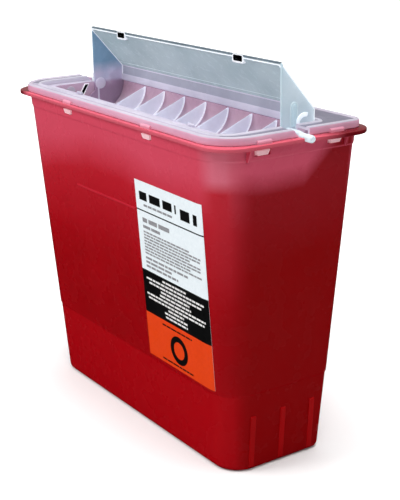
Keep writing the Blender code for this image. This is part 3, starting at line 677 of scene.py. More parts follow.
def front_wall(x, z, lift=0.0):
    """The point on the tub's front wall at x and z, lifted off it by `lift`, round the corner as well."""
    half_width, front, _, radius, _ = tub_shape(z)
    slope = max(0.0, abs(x) - half_width + radius) / radius
    flat = sqrt(max(0.0, 1 - slope * slope))
    side = 1 if x > 0 else -1
    return Vector((x + side * lift * slope, front + radius * (1 - flat) - lift * flat, z))


def wall_patch(low, high, lift, thickness, turn=lambda x, z: (x, z)):
    """A thin closed sheet on the front wall, between (x, z) corners, fine enough to follow its corner."""
    columns = max(1, ceil((high[0] - low[0]) / PATCH_STEP))
    rows = max(1, ceil((high[1] - low[1]) / (6 * PATCH_STEP)))
    xs = [low[0] + (high[0] - low[0]) * i / columns for i in range(columns + 1)]
    zs = [low[1] + (high[1] - low[1]) * j / rows for j in range(rows + 1)]
    shape = bmesh.new()
    back, face = (
        [[shape.verts.new(front_wall(*turn(x, z), depth)) for x in xs] for z in zs]
        for depth in (lift, lift + thickness)
    )
    for grid in (back, face):
        for j in range(rows):
            for i in range(columns):
                shape.faces.new((grid[j][i], grid[j][i + 1], grid[j + 1][i + 1], grid[j + 1][i]))
    for i in range(columns):
        for j in (0, rows):
            shape.faces.new((back[j][i], back[j][i + 1], face[j][i + 1], face[j][i]))
    for j in range(rows):
        for i in (0, columns):
            shape.faces.new((back[j][i], back[j + 1][i], face[j + 1][i], face[j][i]))
    return shape


def make_fill_line():
    """The raised fill line on the front wall."""
    low = (FILL_LINE_START, FILL_LINE_Z - FILL_LINE_WIDTH / 2)
    high = (label_low.x - 1 * MM, FILL_LINE_Z + FILL_LINE_WIDTH / 2)
    line = mesh_from(wall_patch(low, high, -0.4 * MM, 0.8 * MM))
    make("fill_line", line, TUB, "fill_line", edge=(0.35 * MM, 3))


# -------------------------------- lid

LID_GAP = 0.3 * MM  # between the skirt and the flange
END_WALL_INNER, END_WALL_THICKNESS, END_WALL_BEVEL = LEDGE_HALF_WIDTH + 0.2 * MM, 1.1 * MM, 8 * MM
BOSS_CENTRE, BOSS_RADIUS, BOSS_PROUD = mm(-18.9, 225.2), 4.0 * MM, 0.6 * MM
RELIEF_TOP, RELIEF_FOOT, RELIEF_HALF_WIDTH = mm(-4.6, 229.2), mm(-10.0, 221.6), 1.2 * MM
SADDLE_RADIUS, SADDLE_FOOT = mm(3.7, 5.0)
TAB_WIDTH, TAB_STEM, TAB_STEM_GAP, TAB_LOW_Z = mm(11.0, 1.4, 0.7, 221.6)
TAB_LAP_LOW_Z, TAB_REACH = mm(229.1, 1.5)
HOOK_LOW_Z, HOOK_HIGH_Z, HOOK_HALF_WIDTHS = 222.6 * MM, 225.9 * MM, mm(3.8, 5.3)


def lid_region(centre, normal):
    """Which tint of the natural plastic a face of the lid has, from the light that reaches it."""
    if depth_inside(centre, LID_OUTLINE) < 0.6 * MM and centre.z < LID_TOP_Z - 1.2 * MM:
        return "skirt"
    beside_pin = -CHANNEL_RADIUS - CHANNEL_FLARE - 1 * MM < centre.y - PIVOT.y < CHANNEL_RADIUS + 1 * MM
    past_ledge = abs(centre.x) > LEDGE_HALF_WIDTH and centre.z < LID_TOP_Z - 1 * MM
    if beside_pin and past_ledge and abs(normal.x) < 0.3:
        return "cut"
    deck_z = LID_TOP_Z - DECK_DROP
    if centre.z > deck_z - 0.2 * MM:
        if abs(centre.z - deck_z) >= 0.1 * MM:
            return "bead"
        return "deck" if centre.y > OPENING_FRONT else "groove"
    return "ledge" if normal.z > 0.5 or centre.z > LEDGE_Z else "chute"


def relief_slot(grow):
    """The slanted outline of the relief slot beside the tray, widened all round by `grow`."""
    half = RELIEF_HALF_WIDTH + grow
    (top_y, top_z), (foot_y, foot_z) = RELIEF_TOP, RELIEF_FOOT
    return [(top_y + half, top_z + grow), (top_y - half, top_z + grow),
            (foot_y - half, foot_z - grow), (foot_y + half, foot_z - grow)]


def make_lid():
    top, deck, low = LID_TOP_Z, LID_TOP_Z - DECK_DROP, FLANGE_TOP_Z + LID_GAP
    underside, ledge_underside = LID_TOP_Z - LID_PLATE - 0.6 * MM, LEDGE_Z - LID_PLATE
    wall, skirt = CHUTE_WALL / MM, SKIRT_WALL / MM
    # an outline, then the heights of its rings and how far each is grown in millimetres
    steps = (
        (LID_OUTLINE, (low, -0.3), (low + 0.3 * MM, 0.0), (top - 1.7 * MM, 0.0), (top - 0.8 * MM, -0.25),
         (top - 0.25 * MM, -0.8), (top, -1.6), (top, -2.4), (top - 0.3 * MM, -3.1), (deck, -3.6)),
        (OPENING, (deck, 3.0), (top - 0.3 * MM, 2.5), (top, 1.9), (top, 1.0), (top - 0.3 * MM, 0.3),
         (top - 1.0 * MM, 0.0), (LEDGE_Z + 0.4 * MM, 0.0), (LEDGE_Z, -0.4)),
        (LEDGE, (LEDGE_Z, 0.5), (LEDGE_Z - 0.5 * MM, 0.0), (LIP_Z, 0.0), (LIP_Z, wall),
         (ledge_underside, wall)),
        (OPENING, (ledge_underside, wall), (underside, wall)),
        (LID_OUTLINE, (underside, -skirt), (low, -skirt)),
    )
    rings = [outline(shape, z, grow * MM) for shape, *places in steps for z, grow in places]
    lid = add("lid", loft(rings, closed_loop=True))
    start, far, near = LEDGE_HALF_WIDTH - 1 * MM, LID_HALF_WIDTH + 2 * MM, LEDGE_HALF_WIDTH + 2 * MM
    cutters = [channel(side * start, side * far, CHANNEL_FLARE) for side, _ in SIDES]
    cutters += [prism(relief_slot(0.3 * MM), side * start, side * near) for side, _ in SIDES]
    cut(lid, *cutters)
    smooth(lid.data, 35)
    paint(lid, ["skirt", "bead", "cut", "deck", "groove", "ledge", "chute"], lid_region)
    finish(lid, LID, None, "lid_cover")
    for side, label in SIDES:
        make_end_wall(side, label)
        make_relief(side, label)
        make_boss(side, label)
        make_bearing(label)
        make_latch(label)


def make_end_wall(side, label):
    """The wall that hangs from the lid beside the tray, with its relief slot."""
    front, back, inner = -29.0 * MM, 27.0 * MM, END_WALL_INNER
    shoulder_z, top_z = CHUTE_Z + END_WALL_BEVEL, LIP_Z + 2 * MM
    profile = [(front, top_z), (front, shoulder_z), (front + END_WALL_BEVEL, CHUTE_Z),
               (back - END_WALL_BEVEL, CHUTE_Z), (back, shoulder_z), (back, top_z)]
    wall = add(f"lid_end_wall_{label}", prism(profile, side * inner, side * (inner + END_WALL_THICKNESS)))
    start, stop = side * (inner - 2 * MM), side * (inner + 3 * MM)
    cut(wall, prism(relief_slot(0.3 * MM), start, stop), channel(start, stop))
    finish(wall, LID, "chute", "lid_cover", edge=(0.25 * MM, 2))


def make_relief(side, label):
    """The raised frame of a relief slot, and the closed dark cup behind it: painted shade, where the slot is
    open.
    """
    inner, face, back = END_WALL_INNER, END_WALL_INNER - 0.7 * MM, END_WALL_INNER + 1.5 * MM

    def slot_rings(*stations):
        return [stand(relief_slot(grow), side * x) for grow, x in stations]

    rings = slot_rings((0.9 * MM, inner), (0.9 * MM, face), (0.25 * MM, face), (0.25 * MM, inner))
    make(f"relief_frame_{label}", loft(rings, closed_loop=True, smooth_angle=30), LID, "edge")
    mouth = face + 0.1 * MM
    rings = slot_rings((0.24 * MM, back), (0.24 * MM, mouth), (0.0, mouth), (0.0, back - 0.3 * MM))
    make(f"relief_shade_cup_{label}", loft(rings), LID, "shade")


def make_boss(side, label):
    """The round boss on an end wall."""
    start, stop = side * (LEDGE_HALF_WIDTH - BOSS_PROUD), side * (LEDGE_HALF_WIDTH + BOSS_PROUD)
    boss = prism(circle(BOSS_CENTRE, BOSS_RADIUS), start, stop)
    make(f"lid_boss_{label}", boss, LID, "bead", edge=(0.35 * MM, 3))


def make_bearing(label):
    """The saddle under a pin."""
    low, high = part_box(f"pivot_bearing_{label}")
    profile = ([(PIVOT.y - SADDLE_RADIUS, high.z)] + arc_points(PIVOT.yz, SADDLE_RADIUS, 180, 360, 16)[1:-1]
               + [(PIVOT.y + SADDLE_RADIUS, high.z), (high.y, high.z), (PIVOT.y + SADDLE_FOOT, low.z),
                  (PIVOT.y - SADDLE_FOOT, low.z), (low.y, high.z)])
    saddle = add(f"bearing_saddle_{label}", prism(profile, low.x, high.x))
    finish(saddle, LID, "chute", f"pivot_bearing_{label}", edge=(0.3 * MM, 2))


def make_latch(label):
    """A tapered post on the front ledge that enters the hood's slot."""
    low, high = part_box(f"hood_latch_{label}")
    middle, shoulder_z = (low.y + high.y) / 2, high.z - 1 * MM
    profile = [(low.y, low.z), (high.y, low.z), (high.y - 0.2 * MM, shoulder_z), (middle + 0.4 * MM, high.z),
               (middle - 0.4 * MM, high.z), (low.y, shoulder_z)]
    post = add(f"latch_post_{label}", prism(profile, low.x, high.x))
    finish(post, LID, "bead", f"hood_latch_{label}", edge=(0.3 * MM, 2))


def make_tabs():
    """C-shaped clips: each laps over the flange, passes down inside the wall and hooks out of a window."""
    for node, direction, along, lid_face, wall_face in tab_places():
        stem_out = wall_face - STEP_DEPTH - TUB_WALL - TAB_STEM_GAP
        stem_in, root, reach = stem_out - TAB_STEM, lid_face - 0.2 * MM, lid_face + TAB_REACH
        profile = [
            (stem_in, TAB_LOW_Z), (stem_in, FLANGE_TOP_Z), (root, FLANGE_TOP_Z), (root, 232.4 * MM),
            (lid_face + 0.9 * MM, 232.2 * MM), (reach, 231.4 * MM), (reach, TAB_LAP_LOW_Z),
            (stem_out, TAB_LAP_LOW_Z), (stem_out, TAB_LOW_Z),
        ]
        lap = add(node + "_lap", wall_prism(profile, direction, along, TAB_WIDTH))
        finish(lap, LID, "skirt", node, edge=(0.3 * MM, 3))
        hook = add(node + "_hook", hook_mesh(direction, along, stem_out - 0.2 * MM, wall_face + 1.0 * MM))
        finish(hook, LID, "hook", edge=(0.3 * MM, 3))


def hook_mesh(direction, along, inner, outer):
    """The end of a clip, narrower towards its foot, as it shows in the window."""
    sign = -1 if direction[0] == "-" else 1
    foot, brow = HOOK_HALF_WIDTHS
    rings = []
    for reach, foot_lean in ((inner, 0.0), (outer, 0.5 * MM)):
        ring = []
        for across, z, lean in ((-brow, HOOK_HIGH_Z, 0.0), (-foot, HOOK_LOW_Z, foot_lean),
                                (foot, HOOK_LOW_Z, foot_lean), (brow, HOOK_HIGH_Z, 0.0)):
            out = sign * (reach - lean)
            ring.append(Vector((along + across, out, z) if direction[1] == "Y" else (out, along + across, z)))
        rings.append(ring)
    return loft(rings)


# -------------------------------- hood

LATCH_X, SLOT_WIDTH, SLOT_RADIUS = mm(74.0, 9.0, 0.7)
SLOT_LOW_Z, SLOT_HIGH_Z = mm(270.3, 273.3)
FRAME_WIDTH, FRAME_PROUD = mm(1.6, 0.28)
HINGE_RIB_CENTRE, HINGE_RIB_RADII, HINGE_RIB_PROUD = mm(20.0, 233.8), mm(4.5, 7.3), 0.95 * MM
PILLAR_PROUD, PILLAR_BEAD_RADIUS = mm(1.3, 2.7)
PIN_RADIUS, PIN_ROOT_RADIUS, PIN_ROOT_X, PIN_SIDES = 2.5 * MM, 3.4 * MM, 131.0 * MM, 28


def panel_z(y):
    """The height of the sloping panel's inner face at y."""
    return HOOD_LIP_Z + PANEL_SLOPE * (y - HOOD_FRONT_Y)


def panel_profile():
    """The hood's back: a short upright lip, the sloping panel, and the upright foot."""
    back_y, lift = HOOD_FRONT_Y + HOOD_WALL, HOOD_WALL * (PANEL_SLOPE + sqrt(1 + PANEL_SLOPE ** 2))
    return [
        (HOOD_FRONT_Y, HOOD_TOP_Z), (HOOD_FRONT_Y, HOOD_LIP_Z), (BEND_INNER_Y, BEND_Z),
        (BEND_INNER_Y, HOOD_FOOT_Z), (BEND_Y, HOOD_FOOT_Z),
        (BEND_Y, BEND_Z + lift), (back_y, HOOD_LIP_Z + lift), (back_y, HOOD_TOP_Z),
    ]


def panel_region(centre, normal):
    """Which tint a face of the hood's back has: its top edge, its upright foot, which is painted light, or
    the rest.
    """
    if centre.z > HOOD_TOP_Z - 0.1 * MM:
        return "lip"
    return "foot" if centre.z < BEND_Z else "panel"


def make_hood():
    panel = add("hood_panel", prism(panel_profile(), -PLATE_INNER, PLATE_INNER))
    slots = []
    for side, _ in SIDES:
        low_x = side * LATCH_X - SLOT_WIDTH / 2
        low, high = (low_x, SLOT_LOW_Z), (low_x + SLOT_WIDTH, SLOT_HIGH_Z)
        slots.append(loft([rounded_box_ring(low, high, SLOT_RADIUS, y) for y in mm(-4, 9)]))
    cut(panel, *slots)
    paint(panel, ["panel", "lip", "foot"], panel_region)
    finish(panel, HOOD, None, "door_hood", edge=(0.3 * MM, 2))
    make_hood_trim()
    for side, label in SIDES:
        make_side_plate(side, label)
        make_hub(side, label)
        make_plate_beads(side, label)
        make_slot_frame(side, label)
        make_pillar(side, label)
        make_hinge_rib(side, label)
        make_pin(side, label)


def make_hood_trim():
    """Straight trim along the hood: the lip's dark edge and its bright line, a painted highlight, the fold
    lines and the foot band.
    """
    second_fold_y = BEND_INNER_Y - 2.6 * MM
    whole = (-PLATE_INNER, PLATE_INNER)
    lip_highlight = (HOOD_FRONT_Y + 0.1 * MM, HOOD_TOP_Z - 1.9 * MM, 0.4 * MM, "edge")
    near, far = LATCH_X - SLOT_WIDTH / 2 - 1.2 * MM, LATCH_X + SLOT_WIDTH / 2 + 1.2 * MM
    lines = (
        ("hood_lip_bead", whole, HOOD_FRONT_Y + 0.35 * MM, HOOD_TOP_Z - 0.55 * MM, 0.5 * MM, "lip"),
        ("hood_fold_line", whole, BEND_INNER_Y - 0.1 * MM, BEND_Z - 0.2 * MM, 0.42 * MM, "band"),
        ("hood_fold_line_2", whole, second_fold_y, panel_z(second_fold_y), 0.3 * MM, "rib"),
        # the lip's bright line is a painted highlight: a thin bar in the near-white edge plastic
        ("hood_lip_line_1", (-PLATE_INNER, -far), *lip_highlight),
        ("hood_lip_line_2", (-near, near), *lip_highlight),
        ("hood_lip_line_3", (far, PLATE_INNER), *lip_highlight),
    )
    for name, (start, stop), y, z, radius, material in lines:
        steps = 4 if (start, stop) == whole else 2
        path = [Vector((start + (stop - start) * k / steps, y, z)) for k in range(steps + 1)]
        make(name, bar(path, radius), HOOD, material)
    # the foot band's section: how far behind the panel's inner face and above its foot, in millimetres
    steps = ((0.3, 0.0), (0.3, 5.2), (-0.5, 4.8), (-1.0, 3.8), (-1.0, 0.6), (-0.6, 0.0))
    profile = [(BEND_INNER_Y + back * MM, HOOD_FOOT_Z + up * MM) for back, up in steps]
    make("hood_foot_band", prism(profile, *whole), HOOD, "band", edge=(0.25 * MM, 3))


def plate_profile():
    """A side plate: it carries the panel above the pivot and closes the tray's end below it."""
    outer = panel_profile()
    radius, inset = DRUM_RADIUS + 0.2 * MM, 0.2 * MM
    front_y, lip_y = TRAY_FRONT_Y - TRAY_WALL, HOOD_FRONT_Y + inset
    profile = [(lip_y, HOOD_TOP_Z - inset), (outer[6][0], outer[6][1] - inset),
               (BEND_Y - inset, outer[5][1] - inset)]
    profile += arc_points(PIVOT.yz, radius, 0, -90, 20)
    profile += [(front_y, PIVOT.z - radius), (front_y, TRAY_LIP_Z)]
    return profile + [mm(-6.0, 218.5), mm(1.5, 224.0), (lip_y, 232.0 * MM)]


def make_side_plate(side, label):
    plate = prism(plate_profile(), side * (PLATE_INNER + 0.02 * MM), side * HOOD_HALF_WIDTH)
    make(f"hood_side_plate_{label}", plate, HOOD, f"plate_{label}", "door_hood", edge=(0.3 * MM, 2))


def make_hub(side, label):
    """The flat boss behind a pin, on the inner face of a side plate."""
    steps = (mm(-0.1, 4.6), mm(0.45, 4.4), mm(0.8, 3.8), mm(0.6, 3.2))
    face = PLATE_INNER - 0.05 * MM
    rings = [stand(circle(PIVOT.yz, radius), side * (face - reach)) for reach, radius in steps]
    make(f"hood_hub_{label}", loft(rings), HOOD, "band")


def make_plate_beads(side, label):
    """The beads along a side plate's edges, its seam with the panel, and the rib at the tray's end; the edge,
    front and seam beads are painted highlights.
    """
    (_, first, second), foot_z = plate_profile()[:3], HOOD_FOOT_Z + 1 * MM
    edge = [(y - 0.5 * MM, z - 0.4 * MM) for y, z in (first, second)] + [(BEND_Y - 0.9 * MM, foot_z)]
    front = [(HOOD_FRONT_Y + 0.85 * MM, z) for z in (HOOD_TOP_Z - 1 * MM, 250 * MM, 232.5 * MM)]
    seam = [(y, panel_z(y)) for y in (HOOD_FRONT_Y, HOOD_FRONT_Y + 13 * MM, BEND_INNER_Y)]
    rib = [(4.8 * MM, z) for z in mm(229, 222, 215)]
    # each one's name, x, (y, z) path, radius and material
    beads = (("end_rib", PLATE_INNER - 0.05 * MM, rib, 0.7 * MM, "band"),
             ("edge_bead", HOOD_HALF_WIDTH - PLATE_THICKNESS / 2, edge, 0.85 * MM, "edge"),
             ("front_bead", HOOD_HALF_WIDTH - PLATE_THICKNESS / 2, front, 0.7 * MM, "rib"),
             ("seam_bead", PLATE_INNER - 0.1 * MM, seam + [(BEND_INNER_Y, foot_z)], 0.5 * MM, "edge"))
    for part, x, path, radius, material in beads:
        make(f"hood_{part}_{label}", bar(stand(path, side * x), radius), HOOD, material)


def make_slot_frame(side, label):
    """The raised frame round a latch slot, and the closed dark cup behind it: painted shade, where the slot
    is open.
    """
    low_x, high_x = side * LATCH_X - SLOT_WIDTH / 2, side * LATCH_X + SLOT_WIDTH / 2
    front, back = HOOD_FRONT_Y - FRAME_PROUD, HOOD_FRONT_Y + HOOD_WALL + 0.6 * MM

    def ring(grow, y):
        low, high = (low_x - grow, SLOT_LOW_Z - grow), (high_x + grow, min(SLOT_HIGH_Z + grow, HOOD_TOP_Z))
        return rounded_box_ring(low, high, SLOT_RADIUS + grow / 2, y)

    rings = [ring(FRAME_WIDTH, front + 0.1 * MM), ring(FRAME_WIDTH - 0.2 * MM, front), ring(0.5 * MM, front),
             ring(0.45 * MM, back), ring(FRAME_WIDTH, back)]
    make(f"slot_frame_{label}", loft(rings, closed_loop=True), HOOD, "edge")
    rings = [ring(0.44 * MM, back + 1.3 * MM), ring(0.44 * MM, front + 0.1 * MM), ring(0.0, front + 0.1 * MM),
             ring(0.0, back + 1.0 * MM)]
    make(f"slot_shade_cup_{label}", loft(rings), HOOD, "shade")


def make_pillar(side, label):
    """The hinge's half-round pillar on a side plate, and the bead that arches over it."""
    low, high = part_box(f"hinge_column_{label}")
    middle, half = (low.y + high.y) / 2, (high.y - low.y) / 2
    rings = []
    face = HOOD_HALF_WIDTH - 0.1 * MM
    for z, size in ((low.z, 1.0), (high.z - 2 * MM, 1.0), (high.z - 0.6 * MM, 0.8), (high.z, 0.35)):
        rings.append([Vector((side * (face + PILLAR_PROUD * out), middle + half * across, z))
                      for across, out in arc_points((0.0, 0.0), size, 0, 180, 16)])
    make(f"hinge_pillar_{label}", loft(rings), HOOD, "pillar", f"hinge_column_{label}")
    arch = arc_points((middle, high.z - 2 * MM), PILLAR_BEAD_RADIUS, 180, 0, 9)
    arch = [(arch[0][0], low.z)] + arch + [(arch[-1][0], low.z)]
    bead = bar(stand(arch, side * HOOD_HALF_WIDTH), 0.55 * MM)
    make(f"pillar_bead_{label}", bead, HOOD, "rib")


def make_hinge_rib(side, label):
    """The C-shaped rib round the foot of a side plate, in the near-white edge plastic: a painted highlight.
    """
    start, stop, steps = 68, 252, 28
    inner, outer = HINGE_RIB_RADII
    profile = (arc_points(HINGE_RIB_CENTRE, outer, start, stop, steps)
               + arc_points(HINGE_RIB_CENTRE, inner, stop, start, steps))
    rib = prism(profile, side * (HOOD_HALF_WIDTH - 0.1 * MM), side * (HOOD_HALF_WIDTH + HINGE_RIB_PROUD))
    make(f"hinge_rib_{label}", rib, HOOD, "edge", edge=(0.45 * MM, 3))


def make_pin(side, label):
    """A pin with a thicker root, and a rounded end with a shallow dimple."""
    low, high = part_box(f"pivot_pin_{label}")
    tip = max(abs(low.x), abs(high.x))
    root, radius = PIN_ROOT_X, PIN_RADIUS
    stations = [(HOOD_HALF_WIDTH - 0.1 * MM, PIN_ROOT_RADIUS), (root, PIN_ROOT_RADIUS - 0.1 * MM),
                (root + 3 * MM, radius), (tip - 1.8 * MM, radius)]
    # the rounded end and its dimple: how far back from the tip, and the radius, in millimetres
    end = ((0.8, 2.35), (0.2, 1.95), (0.0, 1.6), (0.1, 1.3), (0.8, 0.9), (1.0, 0.3))
    stations += [(tip - back * MM, size * MM) for back, size in end]
    rings = [stand(circle(PIVOT.yz, radius, PIN_SIDES), side * x) for x, radius in stations]
    make(f"pin_{label}", loft(rings), HOOD, "rib", f"pivot_pin_{label}")


# -------------------------------- tray

FIN_COUNT, FIN_SLOPE, FIN_BEAD_RADIUS = 7, 0.4, 1.0 * MM


def make_tray():
    floor_z, front_y = PIVOT.z - DRUM_RADIUS, TRAY_FRONT_Y - TRAY_WALL
    profile = (arc_points(PIVOT.yz, DRUM_RADIUS, 0, -90, 30)
               + [(TRAY_FRONT_Y, floor_z), (front_y, floor_z + TRAY_WALL), (front_y, TRAY_LIP_Z),
                  (TRAY_FRONT_Y, TRAY_LIP_Z), (TRAY_FRONT_Y, floor_z + TRAY_WALL)]
               + arc_points(PIVOT.yz, DRUM_RADIUS - TRAY_WALL, -90, 0, 30))
    shell = add("tray_shell", prism(profile, tray_low.x, tray_high.x))
    paint(shell, ["tray", "drum"], lambda centre, normal: "drum" if centre.y > PIVOT.y + 1 * MM else "tray")
    finish(shell, HOOD, None, "drop_tray", edge=(0.25 * MM, 2))
    for number in range(1, FIN_COUNT + 1):
        make_fin(number)


def make_fin(number):
    """A fin across the tray, with a bright bead just inside its round edge: a painted highlight along that
    edge.
    """
    low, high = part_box(f"tray_fin_{number}")
    radius = high.y - PIVOT.y
    profile = arc_points(PIVOT.yz, radius, 0, -90, 24)
    profile += [(low.y, low.z), (low.y, high.z - FIN_SLOPE * (high.y - low.y))]
    fin = add(f"fin_{number}", prism(profile, low.x, high.x))
    finish(fin, HOOD, "fin", f"tray_fin_{number}", edge=(0.3 * MM, 2))
    path = stand(arc_points(PIVOT.yz, radius - 0.9 * MM, -2, -88, 24), (low.x + high.x) / 2)
    make(f"fin_highlight_bead_{number}", bar(path, FIN_BEAD_RADIUS), HOOD, "edge")


# -------------------------------- label

LABEL_LEFT, LABEL_RIGHT = label_low.x + 0.7 * MM, label_high.x - 2.6 * MM
LABEL_LOW_Z, LABEL_HIGH_Z = label_low.z, label_high.z - 0.5 * MM
LABEL_WIDTH, LABEL_HEIGHT = LABEL_RIGHT - LABEL_LEFT, LABEL_HIGH_Z - LABEL_LOW_Z
LABEL_TILT = radians(-0.8)
SHEET_LIFT, SHEET, INK = mm(0.02, 0.16, 0.03)  # height above the wall, and thicknesses
INK_LIFT = SHEET_LIFT + SHEET + 0.02 * MM
ORANGE_TOP, BLACK_TOP, RULE_LOW, RULE_HIGH = 0.255, 0.503, 0.835, 0.842  # shares of the label's height
MARK_CENTRE = (0.5, 0.118)
MARK_INNER, MARK_OUTER = mm(6.4, 10.6)
WORD_GAP, SHORTEST_WORD = 0.9, 0.01  # the space after a word in letter heights, and a share of the width


def turned(x, z):
    """Where a point of the upright label goes when the whole label is tilted about its middle."""
    cx, cz = (LABEL_LEFT + LABEL_RIGHT) / 2, (LABEL_LOW_Z + LABEL_HIGH_Z) / 2
    c, s = cos(LABEL_TILT), sin(LABEL_TILT)
    return (cx + (x - cx) * c - (z - cz) * s, cz + (x - cx) * s + (z - cz) * c)


def on_label(across, up):
    """The (x, z) place of a point given as shares of the label's width and height."""
    return (LABEL_LEFT + across * LABEL_WIDTH, LABEL_LOW_Z + up * LABEL_HEIGHT)


def make_sheet(name, low, high, material, lift=INK_LIFT, thickness=INK, node=None):
    """One plain rectangle of paper or ink, between corners given as shares of the label."""
    sheet = mesh_from(wall_patch(on_label(*low), on_label(*high), lift, thickness, turned))
    make(name, sheet, LABEL, material, node)


def make_words(name, material, seed, rows):
    """Greeked print: each row is (centre height, letter height, start, stop, usual length of a word)."""
    random = Random(seed)
    whole = bmesh.new()
    for centre, letter, start, stop, word in rows:
        cursor = start
        while cursor < stop - SHORTEST_WORD:
            length = min(word * random.uniform(0.5, 1.5), stop - cursor)
            low, high = on_label(cursor, centre - letter / 2), on_label(cursor + length, centre + letter / 2)
            piece = wall_patch(low, high, INK_LIFT + INK, INK, turned)
            scratch = bpy.data.meshes.new("word")
            piece.to_mesh(scratch)
            piece.free()
            whole.from_mesh(scratch)
            bpy.data.meshes.remove(scratch)
            cursor += length + letter * WORD_GAP
    make(name, mesh_from(whole), LABEL, material)


def make_label():
    make_sheet("label_sheet", (0, 0), (1, 1), "paper", SHEET_LIFT, SHEET, "front_label")
    make_sheet("label_orange_band", (0.0, 0.0), (1.0, ORANGE_TOP), "orange")
    make_sheet("label_black_band", (0.0, ORANGE_TOP), (1.0, BLACK_TOP), "black")
    make_sheet("label_rule", (0.0, RULE_LOW), (1.0, RULE_HIGH), "black")
    heading = [(0.920, 0.046, 0.06, 0.63, 0.16), (0.906, 0.056, 0.69, 0.93, 0.12)]
    make_words("label_heading", "black", 3, heading)
    titles = [(0.872, 0.012, 0.12, 0.58, 0.05), (0.788, 0.024, 0.08, 0.50, 0.14),
              (0.751, 0.016, 0.08, 0.36, 0.10)]
    text = [(0.722 - 0.0168 * k, 0.0095, 0.08, 0.94 if k % 3 else 0.78, 0.055) for k in range(8)]
    notes = [(0.577 - 0.0235 * k, 0.0125, 0.08, stop, 0.07) for k, stop in enumerate((0.74, 0.5, 0.58))]
    make_words("label_small_print", "grey", 5, titles + text + notes)
    halves = (0.18, 0.44, 0.40, 0.22, 0.24, 0.45, 0.43, 0.12, 0.18, 0.17)
    reverse = [(0.480 - 0.0222 * k, 0.0105, 0.5 - half, 0.5 + half, 0.06) for k, half in enumerate(halves)]
    make_words("label_reversed_print", "white", 8, reverse)
    make_words("label_orange_print", "black", 11,
               [(0.227, 0.009, 0.26, 0.72, 0.06), (0.022, 0.009, 0.22, 0.70, 0.07)])
    make_mark()


def make_mark():
    """A plain round mark: a thick ring and nothing else."""
    low, high = INK_LIFT + INK, INK_LIFT + 2 * INK
    corners = ((MARK_OUTER, low), (MARK_OUTER, high), (MARK_INNER, high), (MARK_INNER, low))
    rings = [[front_wall(*turned(x, z), depth) for x, z in circle(on_label(*MARK_CENTRE), radius, 48)]
             for radius, depth in corners]
    make("label_mark_ring", loft(rings, closed_loop=True), LABEL, "black")


# -------------------------------- stage, light and camera

BLACK, WHITE = (0.0, 0.0, 0.0, 1.0), (1.0, 1.0, 1.0, 1.0)
FLOOR_SEEN, FLOOR_BOUNCE = (0.84, 0.84, 0.84, 1.0), (0.55, 0.55, 0.55, 1.0)  # to the camera, and as a bounce
FLOOR_HALF = 12.0
AMBIENT, BACKDROP = 0.42, 1.1  # strength of the white surroundings as light, and as the backdrop
CAMERA_AIM = Vector((0.0157, 0.0091, 0.1244))
CAMERA_AZIMUTH, CAMERA_ELEVATION, CAMERA_ROLL = radians(55.85), radians(17.93), radians(-0.82)
CAMERA_DISTANCE, CAMERA_LENS = 0.8406, 82.79


def make_floor():
    """A plain pale floor. In reflections it is dim close to the object and bright further out."""
    shape = bmesh.new()
    corners = ((-1, -1), (1, -1), (1, 1), (-1, 1))
    shape.faces.new([shape.verts.new((x * FLOOR_HALF, y * FLOOR_HALF, 0.0)) for x, y in corners])
    floor = add("floor", mesh_from(shape))
    nodes = Nodes("floor_paper")
    nodes.surface("Roughness", 0.9)
    nodes.surface("Specular IOR Level", 0.0)
    path = nodes.make("ShaderNodeLightPath")
    seen = path.outputs["Is Camera Ray"]
    nodes.surface("Base Color", nodes.mix(seen, FLOOR_BOUNCE, FLOOR_SEEN))
    nodes.surface("Emission Color", WHITE)
    distance = nodes.make("ShaderNodeVectorMath", operation="LENGTH")
    nodes.fill(distance.inputs[0], nodes.position)
    # painted light: to the camera the floor also glows, more the further it is from the object, so it stays
    # white past the soft shadow
    far = nodes.remap(distance.outputs["Value"], 0.25, 1.5, 0.0, 0.75)
    nodes.surface("Emission Strength", nodes.times(seen, far))
    glare = nodes.remap(distance.outputs["Value"], 0.40, 0.80, 0.0, 0.12)
    card = nodes.make("ShaderNodeEmission")
    nodes.fill(card.inputs["Color"], nodes.mix(glare, BLACK, WHITE))
    paper, glossy = nodes.shader.outputs["BSDF"], path.outputs["Is Glossy Ray"]
    whole = nodes.mix_shaders(glossy, paper, card.outputs["Emission"])
    nodes.fill(nodes.output.inputs["Surface"], whole)
    floor.data.materials.append(nodes.material)


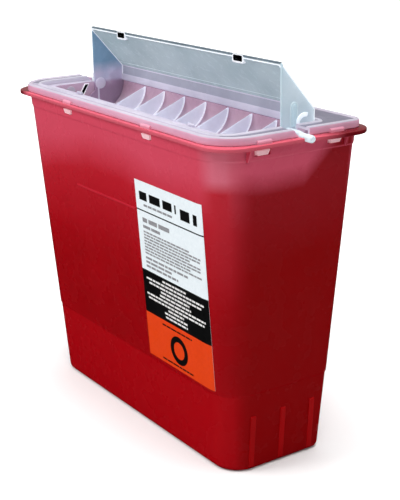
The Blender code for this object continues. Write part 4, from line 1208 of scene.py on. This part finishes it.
def make_light(name, location, aim_z, size, power):
    """A rectangular lamp that points at the given height on the object's axis."""
    data = bpy.data.lights.new(name, "AREA")
    data.shape = "RECTANGLE"
    data.size, data.size_y = size
    data.energy = power
    light = bpy.data.objects.new(name, data)
    bpy.context.scene.collection.objects.link(light)
    light.location = location
    light.rotation_mode = "QUATERNION"
    light.rotation_quaternion = (Vector((0, 0, aim_z)) - Vector(location)).to_track_quat("-Z", "Y")


def make_studio():
    world = bpy.data.worlds.new("studio")
    bpy.context.scene.world = world
    world.use_nodes = True
    tree = world.node_tree
    background = tree.nodes["Background"]
    background.inputs["Color"].default_value = WHITE
    path = tree.nodes.new("ShaderNodeLightPath")
    strength = tree.nodes.new("ShaderNodeMapRange")
    strength.inputs["To Min"].default_value = AMBIENT
    strength.inputs["To Max"].default_value = BACKDROP
    tree.links.new(path.outputs["Is Camera Ray"], strength.inputs["Value"])
    tree.links.new(strength.outputs["Result"], background.inputs["Strength"])
    make_light("key", (-0.75, -1.45, 1.35), 0.12, (1.1, 0.9), 26)
    make_light("top", (0.1, 0.1, 1.8), 0.2, (1.2, 1.2), 34)
    make_light("fill", (1.2, -0.7, 1.5), 0.2, (0.8, 0.8), 10)
    bpy.context.scene.view_settings.view_transform = "Standard"


def make_camera():
    data = bpy.data.cameras.new("camera")
    data.lens = CAMERA_LENS
    camera = bpy.data.objects.new("camera", data)
    bpy.context.scene.collection.objects.link(camera)
    back = Vector((sin(CAMERA_AZIMUTH) * cos(CAMERA_ELEVATION), -cos(CAMERA_AZIMUTH) * cos(CAMERA_ELEVATION),
                   sin(CAMERA_ELEVATION)))
    right = Vector((cos(CAMERA_AZIMUTH), sin(CAMERA_AZIMUTH), 0.0))
    up = back.cross(right)
    rolled_right = cos(CAMERA_ROLL) * right + sin(CAMERA_ROLL) * up
    rolled_up = cos(CAMERA_ROLL) * up - sin(CAMERA_ROLL) * right
    camera.matrix_world = (Matrix.Translation(CAMERA_AIM + back * CAMERA_DISTANCE)
                           @ Matrix((rolled_right, rolled_up, back)).transposed().to_4x4())
    bpy.context.scene.camera = camera


def main():
    make_tub()
    make_lid()
    make_tabs()
    make_hood()
    make_tray()
    make_label()
    make_floor()
    make_studio()
    make_camera()
    bpy.context.scene.cycles.transparent_max_bounces = 32


main()
